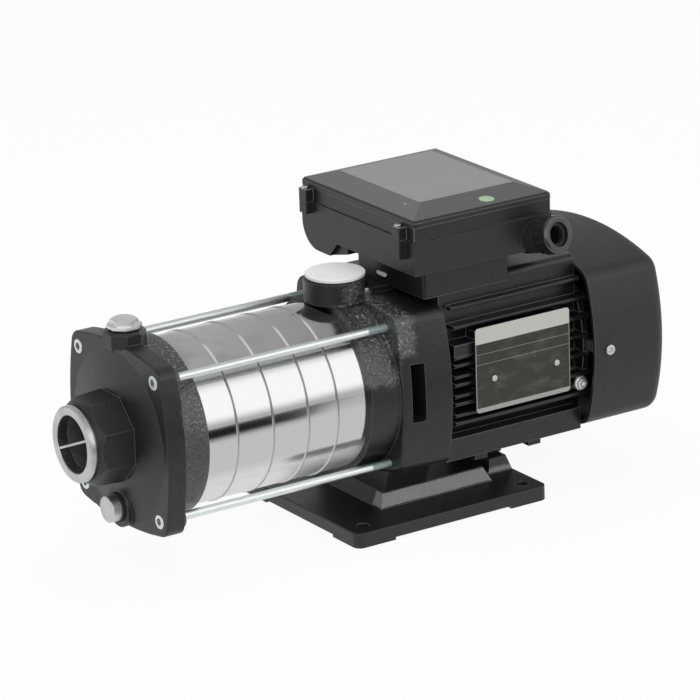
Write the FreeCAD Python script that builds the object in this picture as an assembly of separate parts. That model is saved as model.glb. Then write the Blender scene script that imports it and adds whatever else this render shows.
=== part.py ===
import FreeCAD, Part

import math
import os
from collections import namedtuple

# Horizontal multistage pump, millimetres.
# +X runs along the shaft from the suction end to the fan end, +Z is up.
# The origin is the centre of the base's bolt pattern, on the floor.

# Shaft line and the lengths that follow each other along it
SHAFT_HEIGHT = 97.0
MOTOR_FLANGE_X = 1.0
BRACKET_LENGTH = 37.5
DISCHARGE_BODY_LENGTH = 22.0
STAGES = 5
STAGE_PITCH = 26.5
CASING_BODY_LENGTH = 20.0
PLATE_THICKNESS = 14.0
PLATE_DOME = 5.0
OCTAGON_LENGTH = 26.0
MOTOR_LENGTH = 117.0
COVER_LENGTH = 65.0
COVER_OVERLAP = 6.0

BRACKET_FRONT_X = MOTOR_FLANGE_X - BRACKET_LENGTH
DISCHARGE_FRONT_X = BRACKET_FRONT_X - DISCHARGE_BODY_LENGTH
CASING_BACK_X = DISCHARGE_FRONT_X - STAGES * STAGE_PITCH
PLATE_BACK_X = CASING_BACK_X - CASING_BODY_LENGTH
PLATE_FRONT_X = PLATE_BACK_X - PLATE_THICKNESS
OCTAGON_BASE_X = PLATE_FRONT_X - PLATE_DOME
OCTAGON_FRONT_X = OCTAGON_BASE_X - OCTAGON_LENGTH
COVER_FRONT_X = MOTOR_FLANGE_X + MOTOR_LENGTH
COVER_REAR_X = COVER_FRONT_X + COVER_LENGTH
FRAME_REAR_X = COVER_FRONT_X + COVER_OVERLAP

# Clearances
SEAT_GAP = 0.05
RUNNING_GAP = 0.3
SHAFT_FIT = 0.05
THREAD_FIT = 0.1
SCREW_FIT = 0.25
SCREW_TIP_GAP = 1.0
SCREW_EDGE = 0.6

# Stainless sleeve
SLEEVE_RADIUS = 60.1
SLEEVE_WALL = 1.0
SLEEVE_SEAT = 4.0
BEAD_XS = (-165.7, -136.8, -108.0, -84.0)
BEAD_HEIGHT = 0.8
BEAD_WIDTH = 2.0
BEAD_CREST = 0.6
SLEEVE_BORE = SLEEVE_RADIUS - SLEEVE_WALL
O_RING_RADIUS = 1.3
O_RING_PITCH_RADIUS = SLEEVE_BORE - SEAT_GAP - O_RING_RADIUS
SPIGOT_RADIUS = SLEEVE_BORE - 2 * SEAT_GAP
RIM_WALL = 3.8

# Tie rods on a square round the shaft
ROD_REACH = 50.0
ROD_RADIUS = 3.0
ROD_HEAD_RADIUS = 5.2
ROD_HEAD_LENGTH = 6.0
ROD_HEAD_PROUD = 0.5
ROD_SOCKET_WIDTH = 5.0
ROD_SOCKET_DEPTH = 3.0
ROD_THREAD_LENGTH = 14.0
ROD_LUG_RADIUS = 7.5
ROD_LUG_LENGTH = 3.0

# Bowed outlines: half width and height above and below the shaft at mid side, then the corners
Bulge = namedtuple("Bulge", "side top bottom upper_y upper_z lower_y lower_z")
PLATE_OUTLINE = Bulge(66.0, 66.0, -66.0, 58.0, 59.5, 58.0, -59.5)
BRACKET_FRONT_OUTLINE = Bulge(70.0, 64.5, -64.0, 62.5, 60.5, 65.5, -52.0)
BRACKET_REAR_OUTLINE = Bulge(76.0, 64.5, -66.0, 66.0, 61.0, 70.0, -51.0)
COVER_OUTLINE = Bulge(85.0, 77.5, -60.5, 75.0, 64.0, 75.0, -48.0)
PLATE_CORNER = 10.0
PLATE_EDGE_BLEND = 1.2
BRACKET_CORNER = 10.0
BRACKET_EDGE_BLEND = 2.0

# Suction casing and port
PLATE_DOME_BASE_RADIUS = 60.0
PLATE_DOME_TOP_RADIUS = 33.0
CASING_FRONT_RADIUS = 62.0
CASING_CHAMBER_RADIUS = 52.0
CASING_CHAMBER_LENGTH = 24.0
OCTAGON_BASE_INRADIUS = 30.5
OCTAGON_FRONT_INRADIUS = 28.8
OCTAGON_CHAMFER_LENGTH = 6.0
OCTAGON_NOSE_RADIUS = 27.3
SUCTION_BORE_RADIUS = 20.4
SUCTION_MOUTH_CHAMFER = 0.6
RING_RADIUS = 27.1
RING_THICKNESS = 3.8
RING_NECK_RADIUS = 25.0
RING_NECK_LENGTH = 2.4
RING_INSERT_RADIUS = 22.5
RING_INSERT_LENGTH = 2.0
RING_EDGE = 1.0
SPLITTER_THICKNESS = 1.6
SPLITTER_LENGTH = 6.0
SPLITTER_SETBACK = 0.6
SPLITTER_TILT = 22.7

# Threaded plugs of the suction casing
PLUG_THREAD_RADIUS = 8.33
PLUG_THREAD_LENGTH = 9.0
PLUG_GASKET_THICKNESS = 1.5
PLUG_GASKET_RADIUS = 10.5
DRAIN_DROP = 53.0
DRAIN_BOSS_RADIUS = 14.5
DRAIN_BOSS_PROUD = 4.0
DRAIN_HEAD_RADIUS = 9.5
DRAIN_HEAD_LENGTH = 7.0
PRIMING_SETBACK = 8.5
PRIMING_BOSS_RADIUS = 15.2
PRIMING_BOSS_HEIGHT = 74.3
PRIMING_BOSS_ROOT = 63.0
PRIMING_BOSS_CHAMFER = 2.0
PRIMING_FLANGE_INRADIUS = 11.5
PRIMING_FLANGE_THICKNESS = 2.0
PRIMING_HEX_INRADIUS = 8.6
PRIMING_HEX_HEIGHT = 4.4
PRIMING_HEX_CHAMFER = 1.4
PLUG_EDGE = 0.8

# Stage chambers
CHAMBER_RADIUS = 58.2
CHAMBER_WALL = 1.5
CHAMBER_EYE_RADIUS = 17.6
RETURN_PLATE_SETBACK = 15.5
RETURN_HUB_RADIUS = 11.2
RETURN_PLATE_RADIUS = 50.0
RETURN_VANES = 6
RETURN_VANE_HEIGHT = 7.5
RETURN_VANE_THICKNESS = 1.6
RETURN_VANE_INNER = 14.0
RETURN_VANE_SWEEP = -62.0

# Share of a vane's whole turn that it has made half way out
VANE_EARLY_TURN = 0.36

# Impellers
IMPELLER_RADIUS = 46.0
IMPELLER_SETBACK = 4.5
IMPELLER_WALL = 1.5
IMPELLER_CHANNEL = 6.0
IMPELLER_NECK_RADIUS = 17.3
IMPELLER_NECK_WALL = 1.5
IMPELLER_HUB_RADIUS = 10.5
IMPELLER_VANES = 6
IMPELLER_VANE_THICKNESS = 1.6
IMPELLER_VANE_INNER = 14.5
IMPELLER_VANE_SWEEP = 66.0

# Shaft, with its nut and spacers
PUMP_SHAFT_RADIUS = 7.0
BEARING_SEAT_RADIUS = 7.5
CORE_SEAT_RADIUS = 10.0
FAN_SEAT_RADIUS = 6.0
NUT_LENGTH = 7.5
NUT_INRADIUS = 9.5
NUT_WASHER_RADIUS = 11.5
NUT_WASHER_THICKNESS = 1.5
SHAFT_TIP_LENGTH = 3.0
SHAFT_TIP_CHAMFER = 1.0
SPACER_RADIUS = 10.5

# Shaft seal between the discharge chamber and the open bracket
SEAL_WALL_LENGTH = 13.0
DISCHARGE_CHAMBER_RADIUS = 52.0
DISCHARGE_CHAMBER_LENGTH = 12.5
SEAT_RING_RADIUS = 15.0
SEAT_RING_LENGTH = 7.0
SEAT_RING_BORE = 8.5
SEAL_FACE_GAP = 0.1
SEAL_FACE_RADIUS = 13.0
SEAL_FACE_LENGTH = 4.0
BELLOWS_LENGTH = 10.0
BELLOWS_FOLDS = 3
BELLOWS_OUTER = 12.5
BELLOWS_INNER = 9.5
SLINGER_RADIUS = 15.0
SLINGER_THICKNESS = 2.5

# Discharge bracket
DISCHARGE_BODY_FRONT_RADIUS = 64.8
DISCHARGE_BODY_REAR_HEIGHT = 63.0
DISCHARGE_BODY_REAR_WIDTH = 68.0
LANTERN_RADIUS = 21.5
LANTERN_LENGTH = 17.0
WINDOW_SETBACK = 7.0
WINDOW_WIDTH = 10.5
WINDOW_LOW = -16.3
WINDOW_HIGH = 26.0
PLATFORM_HALF_WIDTH = 17.0
PLATFORM_TOP = 68.3
PLATFORM_ROOT = 55.0
FOOT_FRONT_X = -36.0
FOOT_REAR_X = 0.5
FOOT_TOP_HALF_WIDTH = 50.0
FOOT_BOTTOM_HALF_WIDTH = 41.0
FOOT_ROOT = -50.0

# Discharge port and its dust cap
PORT_X = -44.4
PORT_NECK_RADIUS = 22.7
PORT_NECK_BOTTOM = 61.0
PORT_NECK_TOP = 77.3
PORT_THREAD_RADIUS = 15.15
PORT_THREAD_LENGTH = 14.0
PORT_NECK_BLEND = 1.0
PORT_MOUTH_CHAMFER = 1.4
PORT_RECESS_DEPTH = 1.2
PASSAGE_RADIUS = 9.5
PASSAGE_X = -42.0
PASSAGE_DEPTH = 40.0
CAP_RADIUS = 21.4
CAP_THICKNESS = 2.2
CAP_GAP = 0.8
CAP_COLLAR_RADIUS = 19.5
CAP_COLLAR_DEPTH = 1.0
CAP_COLLAR_WALL = 1.5
CAP_EDGE = 0.5

# Screw on the bracket platform
PLATFORM_SCREW_X = -32.7
PLATFORM_SCREW_Y = -22.3
PLATFORM_SCREW_SEAT = 69.5
PLATFORM_SCREW_BOSS_RADIUS = 3.4
PLATFORM_SCREW_RADIUS = 2.2
PLATFORM_SCREW_HEIGHT = 2.2
PLATFORM_SCREW_SHANK = 1.5
PLATFORM_SCREW_DEPTH = 7.0

# Bearings
BEARING_OUTER_RADIUS = 17.5
BEARING_WIDTH = 11.0
BEARING_RING_WALL = 2.6
BEARING_PITCH_RADIUS = 12.5
BALL_RADIUS = 3.0
BALLS = 8
BEARING_SHOULDER = 14.0
REAR_BEARING_SETBACK = 16.0
PRELOAD_LENGTH = 2.0
PRELOAD_INNER = 13.5
PRELOAD_OUTER = 16.5

# Motor frame
FRAME_HALF_WIDTH = 57.0
FRAME_TOP = 62.0
FRAME_BOTTOM = -55.0
FRAME_CORNER = 26.0
FRAME_WALL = 5.0
STATOR_BORE = FRAME_HALF_WIDTH - FRAME_WALL
FIN_TIP = 70.0
FIN_THICKNESS = 3.2
FIN_PITCH = 14.2
FINS = 6
FIN_LOWEST = -26.0
FIN_START = 6.5
SHORT_FIN_DROP = 8.3
SHORT_FIN_SETBACK = 6.0
SHORT_FINS = 4
FIN_PAD_LENGTH = 24.0
FIN_PAD_LOW = 23.5
FIN_PAD_HIGH = 32.0
FRAME_FLANGE_THICKNESS = 4.0
FRAME_FLANGE_INSET = 17.0
SHOULDER_FIN_Z = 58.5
SHOULDER_FIN_TIP = 67.0
SHOULDER_FIN_ROOT = 30.0
RAIL_TOP = -38.0
RAIL_BOTTOM = -54.0
RAIL_REACH = 66.0
RAIL_ROOT = 40.0
STUB_FOOT_XS = (34.0, 80.5)
STUB_FOOT_LENGTH = 10.5
STUB_FOOT_Y = 44.0
STUB_FOOT_WIDTH = 10.0
STUB_FOOT_BOTTOM = -62.7
SHOULDER_HALF_WIDTH = 61.0
SHOULDER_TOP = 75.5
SHOULDER_ROOT = 45.0
SHOULDER_CORNER = 5.0
SHOULDER_FAR_CORNER = 20.0
PEDESTAL_FRONT_X = -12.0
PEDESTAL_LENGTH = 72.0
PEDESTAL_NEAR_Y = -63.0
PEDESTAL_FAR_Y = 20.5
PEDESTAL_BORE = 12.0
PEDESTAL_CORNER = 2.0
SEAT_PLUG_LENGTH = 11.5
SEAT_PLUG_HEIGHT = 2.9
SEAT_PLUG_STEM_RADIUS = 1.0
SEAT_PLUG_PROUD = 1.0
SEAT_PLUG_DEPTH = 4.0
SEAT_PLUG_Y = -10.8
SEAT_PLUG_Z = 75.0
MOTOR_FOOT_LENGTH = 18.0
MOTOR_FOOT_HALF_WIDTH = 22.0
PAD_ROOT = 2.0
FIN_TIP_BLEND = 1.3

# Stator and rotor
CORE_MARGIN = 47.0
CORE_LENGTH = MOTOR_LENGTH - CORE_MARGIN
CORE_FRONT_X = 19.0
AIR_GAP = 0.6
ROTOR_RADIUS = 32.0
WINDING_OVERHANG = 12.0
WINDING_MARGIN = 2.0
WINDING_THICKNESS = 14.0
WINDING_OUTER = STATOR_BORE - WINDING_MARGIN
WINDING_INNER = WINDING_OUTER - WINDING_THICKNESS
WINDING_BLEND = 3.0

# Rear end shield
SHIELD_THICKNESS = 4.0
SHIELD_FLANGE_WIDTH = 4.5
SHIELD_FLANGE_RADIUS = STATOR_BORE + SHIELD_FLANGE_WIDTH
SHIELD_SPIGOT_LENGTH = 6.0
SHIELD_HUB_RADIUS = 23.0
SHIELD_BORE_RADIUS = 8.5
COVER_ARM_WIDTH = 8.0
COVER_ARM_GAP = 0.3
COVER_ARM_THICKNESS = 6.0
COVER_ARM_ROOT = 50.0
COVER_SCREW_SETBACK = 12.5

# Fan and its cover
FAN_SETBACK = 29.0
FAN_LENGTH = 19.0
FAN_RADIUS = 53.0
FAN_HUB_RADIUS = 13.0
FAN_DISC_THICKNESS = 2.5
FAN_BLADES = 7
FAN_BLADE_THICKNESS = 2.4
FAN_BLADE_INNER = 24.0
FAN_BLADE_OUTER = 52.0
COVER_WALL = 2.2
COVER_CORNER = 15.0
COVER_REAR_BLEND = 11.0
GRILLE_RINGS = 4
GRILLE_FIRST_RADIUS = 13.0
GRILLE_PITCH = 9.0
GRILLE_SLOT = 5.0
GRILLE_SPOKES = 3
GRILLE_SPOKE_WIDTH = 6.0
COVER_SCREW_HEAD_RADIUS = 3.8
COVER_SCREW_HEAD_HEIGHT = 2.2
COVER_SCREW_RADIUS = 2.0
COVER_SCREW_LENGTH = 12.0
COVER_SCREW_SOCKET = 3.0
COVER_SCREW_SOCKET_DEPTH = 1.4

# Terminal box
BOX_FRONT_X = -22.5
BOX_LENGTH = 117.0
BOX_NEAR_Y = -68.0
BOX_FAR_Y = 75.0
BOX_BOTTOM = 88.3
BOX_HEIGHT = 24.3
BOX_SEAM = BOX_BOTTOM + BOX_HEIGHT
BOX_WALL = 2.6
BOX_CORNER = 2.4
BELLY_DEPTH = 10.8
BELLY_BOTTOM = BOX_BOTTOM - BELLY_DEPTH
BELLY_NEAR_Y = 40.0
BELLY_STEP = 10.0
GUSSET_NEAR_Y = 21.0
GUSSET_SETBACK = 3.0
GUSSET_DROP = 6.0
BELLY_RADIUS = 20.0
SKIRT_INSET = 0.8
LID_SKIRT_HEIGHT = 10.4
LID_EDGE_HEIGHT = 15.6
LID_PANEL_HEIGHT = 18.0
LID_LIP_BOTTOM = BOX_SEAM + LID_SKIRT_HEIGHT
LID_EDGE_TOP = BOX_SEAM + LID_EDGE_HEIGHT
LID_PANEL_TOP = BOX_SEAM + LID_PANEL_HEIGHT
LID_BEVEL = 1.8
LID_FRAME_FRONT = 26.0
LID_FRAME_NEAR = 30.0
LID_FRAME_FAR = 12.0
LID_FRAME_REAR = 12.0
GASKET_THICKNESS = 1.0
GASKET_REACH = 18.0
LID_GASKET_HEIGHT = 0.4
LID_GASKET_INSET = 0.5
EAR_PROUD = 5.5
EAR_WIDTH = 9.5
EAR_CORNER = 0.8
EAR_SHORTFALL = 0.7
EAR_TOP = LID_LIP_BOTTOM - EAR_SHORTFALL
NEAR_EAR_Y = -53.0
NEAR_EAR_DROP = 13.6
NEAR_EAR_BOTTOM = BOX_SEAM - NEAR_EAR_DROP
FAR_EAR_Y = 65.3
FAR_EAR_DROP = 8.1
FAR_EAR_BOTTOM = BOX_SEAM - FAR_EAR_DROP
LID_SCREW_RADIUS = 1.8
LID_SCREW_HEAD_RADIUS = 2.7
LID_SCREW_HEAD_HEIGHT = 1.8
LID_SCREW_DEPTH = 7.0
TERMINAL_BLOCK_X = 12.0
TERMINAL_BLOCK_SIZE = (42.0, 20.0, 11.0)
TERMINAL_BLOCK_Y = -30.0
TERMINALS = 3
TERMINAL_RADIUS = 3.0
TERMINAL_DEPTH = 5.0
CAPACITOR_RADIUS = 16.0
CAPACITOR_LENGTH = 84.0
CAPACITOR_Y = 55.0
CAPACITOR_FRONT_X = -12.0
CAPACITOR_EDGE = 2.0

# Cable gland on the near wall
GLAND_INSET = 14.7
GLAND_DROP = 14.7
GLAND_X = BOX_FRONT_X + BOX_LENGTH - GLAND_INSET
GLAND_Z = BOX_SEAM - GLAND_DROP
GLAND_TILT_UP = 14.5
GLAND_TILT_BACK = 11.2
GLAND_TURRET_RADIUS = 11.8
GLAND_TURRET_REACH = 8.5
GLAND_TURRET_ROOT = 8.0
GLAND_THREAD_RADIUS = 9.6
GLAND_BORE_RADIUS = 7.6
GLAND_FLANGE_RADIUS = 11.8
GLAND_FLANGE_THICKNESS = 2.5
GLAND_NUT_RADIUS = 13.7
GLAND_NUT_LENGTH = 12.5
GLAND_THREAD_STICKOUT = 6.0
GLAND_MOUTH_RADIUS = 8.9
GLAND_LIP = 2.0
GLAND_LOBES = 8
GLAND_LOBE_DEPTH = 0.9
GLAND_LOBE_RADIUS = 3.0
GLAND_SEAL_BORE = 6.5
GLAND_SEAL_LENGTH = 3.6
GLAND_NOSE_BLEND = 2.0

# Nameplate and earth screw
NAMEPLATE_X = 22.5
NAMEPLATE_LENGTH = 81.0
NAMEPLATE_LOW = -20.0
NAMEPLATE_HIGH = 42.5
NAMEPLATE_THICKNESS = 0.8
NAMEPLATE_CORNER = 2.5
NAMEPLATE_PAD_PROUD = 3.5
NAMEPLATE_PAD_MARGIN = 4.0
RIVET_XS = (38.0, 92.0)
RIVET_Z = 3.5
RIVET_RADIUS = 1.8
RIVET_PROUD = 0.9
RIVET_HEAD_RADIUS = 2.3
RIVET_LENGTH = 4.0
EARTH_SCREW_SETBACK = 2.4
EARTH_SCREW_X = COVER_FRONT_X - EARTH_SCREW_SETBACK
EARTH_SCREW_Z = -18.0
EARTH_BOSS_RADIUS = 5.6
EARTH_WASHER_RADIUS = 5.2
EARTH_WASHER_THICKNESS = 0.8
EARTH_HEAD_RADIUS = 4.1
EARTH_HEAD_HEIGHT = 2.8
EARTH_SOCKET = 3.4
EARTH_SOCKET_DEPTH = 1.8
EARTH_SHANK_RADIUS = 2.0
EARTH_SHANK_LENGTH = 9.0

# Base plate
BASE_LENGTH = 163.0
BASE_WIDTH = 151.0
BASE_THICKNESS = 11.0
BASE_CORNER = 6.0
BASE_EDGE_BLEND = 1.0
BASE_RELIEF = 2.0
BASE_PAD_LENGTH = 32.0
BASE_PAD_WIDTH = 32.0
BASE_HOLE_RADIUS = 4.5
BASE_HOLE_SPACING_X = 136.0
BASE_HOLE_SPACING_Y = 124.0
RISER_TOP = 22.0
FRONT_RISER_X = -41.0
FRONT_RISER_LENGTH = 95.5
FRONT_RISER_HALF_WIDTH = 45.0
FRONT_RISER_DRAFT = 5.0
REAR_RISER_X = 59.0
REAR_RISER_LENGTH = 21.0
REAR_RISER_HALF_WIDTH = 34.0
REAR_RISER_DRAFT = 3.5
FOOT_BOLT_X = -20.0
FOOT_BOLT_Y = 26.0
FOOT_BOLT_RADIUS = 4.0
FOOT_BOLT_LENGTH = 26.0
FOOT_BOLT_HEAD_RADIUS = 6.5
FOOT_BOLT_HEAD_LENGTH = 6.0
FOOT_BOLT_SOCKET = 6.0
FOOT_BOLT_SEAT = 9.0


# How edges are told apart when they are picked
MAINLY_ALONG = 0.9
PLANE_REACH = 0.01


# Plain shapes

def vec(x, y, z):
    return FreeCAD.Vector(x, y, z)


def up(height):
    """Height over the floor of a place given from the shaft line"""
    return SHAFT_HEIGHT + height


def along_x(x_start, x_end, radius, y=0.0, z=SHAFT_HEIGHT):
    return Part.makeCylinder(radius, x_end - x_start, vec(x_start, y, z), vec(1, 0, 0))


def along_y(y_start, y_end, radius, x, z):
    direction = vec(0, math.copysign(1, y_end - y_start), 0)
    return Part.makeCylinder(radius, abs(y_end - y_start), vec(x, y_start, z), direction)


def along_z(z_start, z_end, radius, x, y=0.0):
    return Part.makeCylinder(radius, z_end - z_start, vec(x, y, z_start), vec(0, 0, 1))


def ring_x(x_start, x_end, outer, inner):
    return along_x(x_start, x_end, outer).cut(along_x(x_start, x_end, inner))


def block(x_start, x_end, y_start, y_end, z_start, z_end):
    corner = vec(x_start, y_start, z_start)
    return Part.makeBox(x_end - x_start, y_end - y_start, z_end - z_start, corner)


def joined(*shapes):
    return shapes[0].fuse(list(shapes[1:])).removeSplitter()


def turned(profile):
    """Body of revolution about the shaft from (x, radius) points"""
    points = [vec(x, 0, up(radius)) for x, radius in profile]
    face = Part.Face(Part.makePolygon(points + points[:1]))
    return face.revolve(vec(0, 0, SHAFT_HEIGHT), vec(1, 0, 0), 360)


def turned_upright(profile, x, y=0.0):
    """Body of revolution about an upright line from (radius, height) points"""
    points = [vec(x + radius, y, up(height)) for radius, height in profile]
    face = Part.Face(Part.makePolygon(points + points[:1]))
    return face.revolve(vec(x, y, 0), vec(0, 0, 1), 360)


def prism_wire(x, inradius, sides, turn=0.0):
    """Closed regular polygon across the shaft with a flat on top"""
    radius = inradius / math.cos(math.pi / sides)
    angles = [math.radians(turn) + math.pi * (2 * i + 1) / sides for i in range(sides)]
    points = [vec(x, radius * math.sin(a), up(radius * math.cos(a))) for a in angles]
    return Part.makePolygon(points + points[:1])


def upright_prism(z_start, z_end, inradius, sides, x, y=0.0):
    radius = inradius / math.cos(math.pi / sides)
    angles = [math.pi * (2 * i + 1) / sides for i in range(sides)]
    points = [vec(x + radius * math.cos(a), y + radius * math.sin(a), z_start) for a in angles]
    return Part.Face(Part.makePolygon(points + points[:1])).extrude(vec(0, 0, z_end - z_start))


def edges_along(shape, axis):
    """Straight or bent edges that run mainly along one axis, given as 0, 1 or 2"""
    found = []
    for edge in shape.Edges:
        if len(edge.Vertexes) < 2:
            continue
        run = edge.Vertexes[-1].Point - edge.Vertexes[0].Point
        parts = [abs(run.x), abs(run.y), abs(run.z)]
        if parts[axis] > MAINLY_ALONG * run.Length:
            found.append(edge)
    return found


def edges_at(shape, axis, place):
    """Edges that lie wholly in the plane where one coordinate has the given value"""
    names = ("XMin", "XMax"), ("YMin", "YMax"), ("ZMin", "ZMax")
    low, high = names[axis]
    return [
        edge
        for edge in shape.Edges
        if abs(getattr(edge.BoundBox, low) - place) < PLANE_REACH
        and abs(getattr(edge.BoundBox, high) - place) < PLANE_REACH
    ]


def rounded_block(x_start, x_end, y_start, y_end, z_start, z_end, radius, axis=2):
    shape = block(x_start, x_end, y_start, y_end, z_start, z_end)
    return shape.makeFillet(radius, edges_along(shape, axis))


def bulged_wire(x, outline):
    """Closed outline across the shaft with four bowed sides"""
    corners = [
        (outline.upper_y, outline.upper_z),
        (-outline.upper_y, outline.upper_z),
        (-outline.lower_y, outline.lower_z),
        (outline.lower_y, outline.lower_z),
    ]
    middle_z = (outline.upper_z + outline.lower_z) / 2
    middles = [
        (0, outline.top),
        (-outline.side, middle_z),
        (0, outline.bottom),
        (outline.side, middle_z),
    ]
    edges = []
    for start, middle, end in zip(corners, middles, corners[1:] + corners[:1]):
        points = [vec(x, y, up(z)) for y, z in (start, middle, end)]
        edges.append(Part.Arc(*points).toShape())
    return Part.Wire(edges)


def bulged_body(x_start, outline, x_end, end_outline, corner):
    """Loft between two bowed outlines with rounded long edges"""
    wires = [bulged_wire(x_start, outline), bulged_wire(x_end, end_outline)]
    body = Part.makeLoft(wires, True, True)
    return body.makeFillet(corner, edges_along(body, 0))


def shrunk(outline, wall):
    return Bulge(
        outline.side - wall,
        outline.top - wall,
        outline.bottom + wall,
        outline.upper_y - wall,
        outline.upper_z - wall,
        outline.lower_y - wall,
        outline.lower_z + wall,
    )


def rod_places():
    return [(y, z) for y in (-ROD_REACH, ROD_REACH) for z in (-ROD_REACH, ROD_REACH)]


def curved_vane(x_start, x_end, inner, outer, sweep, thickness):
    """One vane across the shaft, bent backwards between two radii"""
    middle = (inner + outer) / 2

    def place(radius, turn, shift):
        angle = math.radians(turn) + shift / radius
        return vec(x_start, radius * math.sin(angle), up(radius * math.cos(angle)))

    def flank(shift):
        points = [
            place(inner, 0, shift),
            place(middle, sweep * VANE_EARLY_TURN, shift),
            place(outer, sweep, shift),
        ]
        return Part.Arc(*points).toShape(), points[0], points[2]

    first, first_inner, first_outer = flank(-thickness / 2)
    second, second_inner, second_outer = flank(thickness / 2)
    tip = Part.makeLine(first_outer, second_outer)
    root = Part.makeLine(second_inner, first_inner)
    wire = Part.Wire(Part.sortEdges([first, tip, second, root])[0])
    return Part.Face(wire).extrude(vec(x_end - x_start, 0, 0))


def turned_copies(shape, count):
    """Copies of a shape, evenly spread about the shaft"""
    copies = []
    for i in range(count):
        copy = shape.copy()
        copy.rotate(vec(0, 0, SHAFT_HEIGHT), vec(1, 0, 0), i * 360.0 / count)
        copies.append(copy)
    return copies


# Base

def base_plate():
    half_length = BASE_LENGTH / 2
    half_width = BASE_WIDTH / 2
    plate = rounded_block(
        -half_length, half_length, -half_width, half_width, 0, BASE_THICKNESS, BASE_CORNER
    )
    plate = plate.makeFillet(BASE_EDGE_BLEND, edges_at(plate, 2, BASE_THICKNESS))
    reliefs = [
        block(
            -half_length + BASE_PAD_LENGTH, half_length - BASE_PAD_LENGTH,
            -half_width, half_width, 0, BASE_RELIEF,
        ),
        block(
            -half_length, half_length,
            -half_width + BASE_PAD_WIDTH, half_width - BASE_PAD_WIDTH, 0, BASE_RELIEF,
        ),
    ]
    body = joined(
        plate.cut(reliefs),
        riser(FRONT_RISER_X, FRONT_RISER_LENGTH, FRONT_RISER_HALF_WIDTH, FRONT_RISER_DRAFT),
        riser(REAR_RISER_X, REAR_RISER_LENGTH, REAR_RISER_HALF_WIDTH, REAR_RISER_DRAFT),
    )
    return body.cut(base_holes() + [foot_bolt_hole(y) for y in (-FOOT_BOLT_Y, FOOT_BOLT_Y)])


def riser(x_start, length, half_width, draft):
    """Raised seat on the base with sloping sides"""

    def level(z, inset):
        xs = x_start + inset, x_start + length - inset
        y = half_width - inset
        points = [vec(xs[0], -y, z), vec(xs[1], -y, z), vec(xs[1], y, z), vec(xs[0], y, z)]
        return Part.makePolygon(points + points[:1])

    root = BASE_THICKNESS - BASE_RELIEF
    slope = draft / (RISER_TOP - BASE_THICKNESS)
    wires = [level(root, -BASE_RELIEF * slope), level(RISER_TOP, draft)]
    return Part.makeLoft(wires, True, True)


def base_holes():
    places = [
        (x * BASE_HOLE_SPACING_X / 2, y * BASE_HOLE_SPACING_Y / 2)
        for x in (-1, 1)
        for y in (-1, 1)
    ]
    return [along_z(0, BASE_THICKNESS, BASE_HOLE_RADIUS, x, y) for x, y in places]


def foot_bolt_hole(y):
    through = along_z(0, RISER_TOP, FOOT_BOLT_RADIUS + SCREW_FIT, FOOT_BOLT_X, y)
    recess = along_z(0, FOOT_BOLT_SEAT, FOOT_BOLT_HEAD_RADIUS + SCREW_TIP_GAP, FOOT_BOLT_X, y)
    return through.fuse(recess)


def foot_bolts():
    bolts = []
    for y in (-FOOT_BOLT_Y, FOOT_BOLT_Y):
        head_bottom = FOOT_BOLT_SEAT - FOOT_BOLT_HEAD_LENGTH
        head = along_z(head_bottom, FOOT_BOLT_SEAT, FOOT_BOLT_HEAD_RADIUS, FOOT_BOLT_X, y)
        socket = upright_prism(
            head_bottom, head_bottom + FOOT_BOLT_HEAD_LENGTH / 2, FOOT_BOLT_SOCKET / 2, 6, FOOT_BOLT_X, y
        )
        shank = along_z(
            FOOT_BOLT_SEAT, FOOT_BOLT_SEAT + FOOT_BOLT_LENGTH, FOOT_BOLT_RADIUS, FOOT_BOLT_X, y
        )
        bolts.append(joined(head.cut(socket), shank))
    return Part.makeCompound(bolts)


# Suction end

def suction_casing():
    plate = bulged_body(PLATE_FRONT_X, PLATE_OUTLINE, PLATE_BACK_X, PLATE_OUTLINE, PLATE_CORNER)
    plate = plate.makeFillet(PLATE_EDGE_BLEND, edges_at(plate, 0, PLATE_FRONT_X))
    rim_radius = SLEEVE_RADIUS + SEAT_GAP + RIM_WALL
    body = turned([
        (OCTAGON_BASE_X, 0),
        (OCTAGON_BASE_X, PLATE_DOME_TOP_RADIUS),
        (PLATE_FRONT_X, PLATE_DOME_BASE_RADIUS),
        (PLATE_BACK_X, CASING_FRONT_RADIUS),
        (CASING_BACK_X - SLEEVE_SEAT, rim_radius),
        (CASING_BACK_X, rim_radius),
        (CASING_BACK_X, 0),
    ])
    lugs = [
        along_x(PLATE_BACK_X, PLATE_BACK_X + ROD_LUG_LENGTH, ROD_LUG_RADIUS, y, up(z))
        for y, z in rod_places()
    ]
    casing = joined(plate, body, octagon_boss(), drain_boss(), priming_boss(), *lugs)
    return casing.cut(suction_cuts())


def octagon_boss():
    """Eight-sided port boss with a turned chamfer at its nose"""
    sides = 8
    wires = [
        prism_wire(OCTAGON_BASE_X, OCTAGON_BASE_INRADIUS, sides),
        prism_wire(OCTAGON_FRONT_X, OCTAGON_FRONT_INRADIUS, sides),
    ]
    corner_radius = OCTAGON_BASE_INRADIUS / math.cos(math.pi / sides)
    envelope = turned([
        (OCTAGON_FRONT_X, 0),
        (OCTAGON_FRONT_X, OCTAGON_NOSE_RADIUS),
        (OCTAGON_FRONT_X + OCTAGON_CHAMFER_LENGTH, corner_radius),
        (OCTAGON_BASE_X, corner_radius),
        (OCTAGON_BASE_X, 0),
    ])
    return Part.makeLoft(wires, True, True).common(envelope)


def drain_boss():
    z = up(-DRAIN_DROP)
    boss = along_x(PLATE_FRONT_X - DRAIN_BOSS_PROUD, PLATE_BACK_X, DRAIN_BOSS_RADIUS, 0, z)
    return boss.makeFillet(PLATE_EDGE_BLEND, edges_at(boss, 0, PLATE_FRONT_X - DRAIN_BOSS_PROUD))


def priming_x():
    return PLATE_FRONT_X + PRIMING_SETBACK


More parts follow.
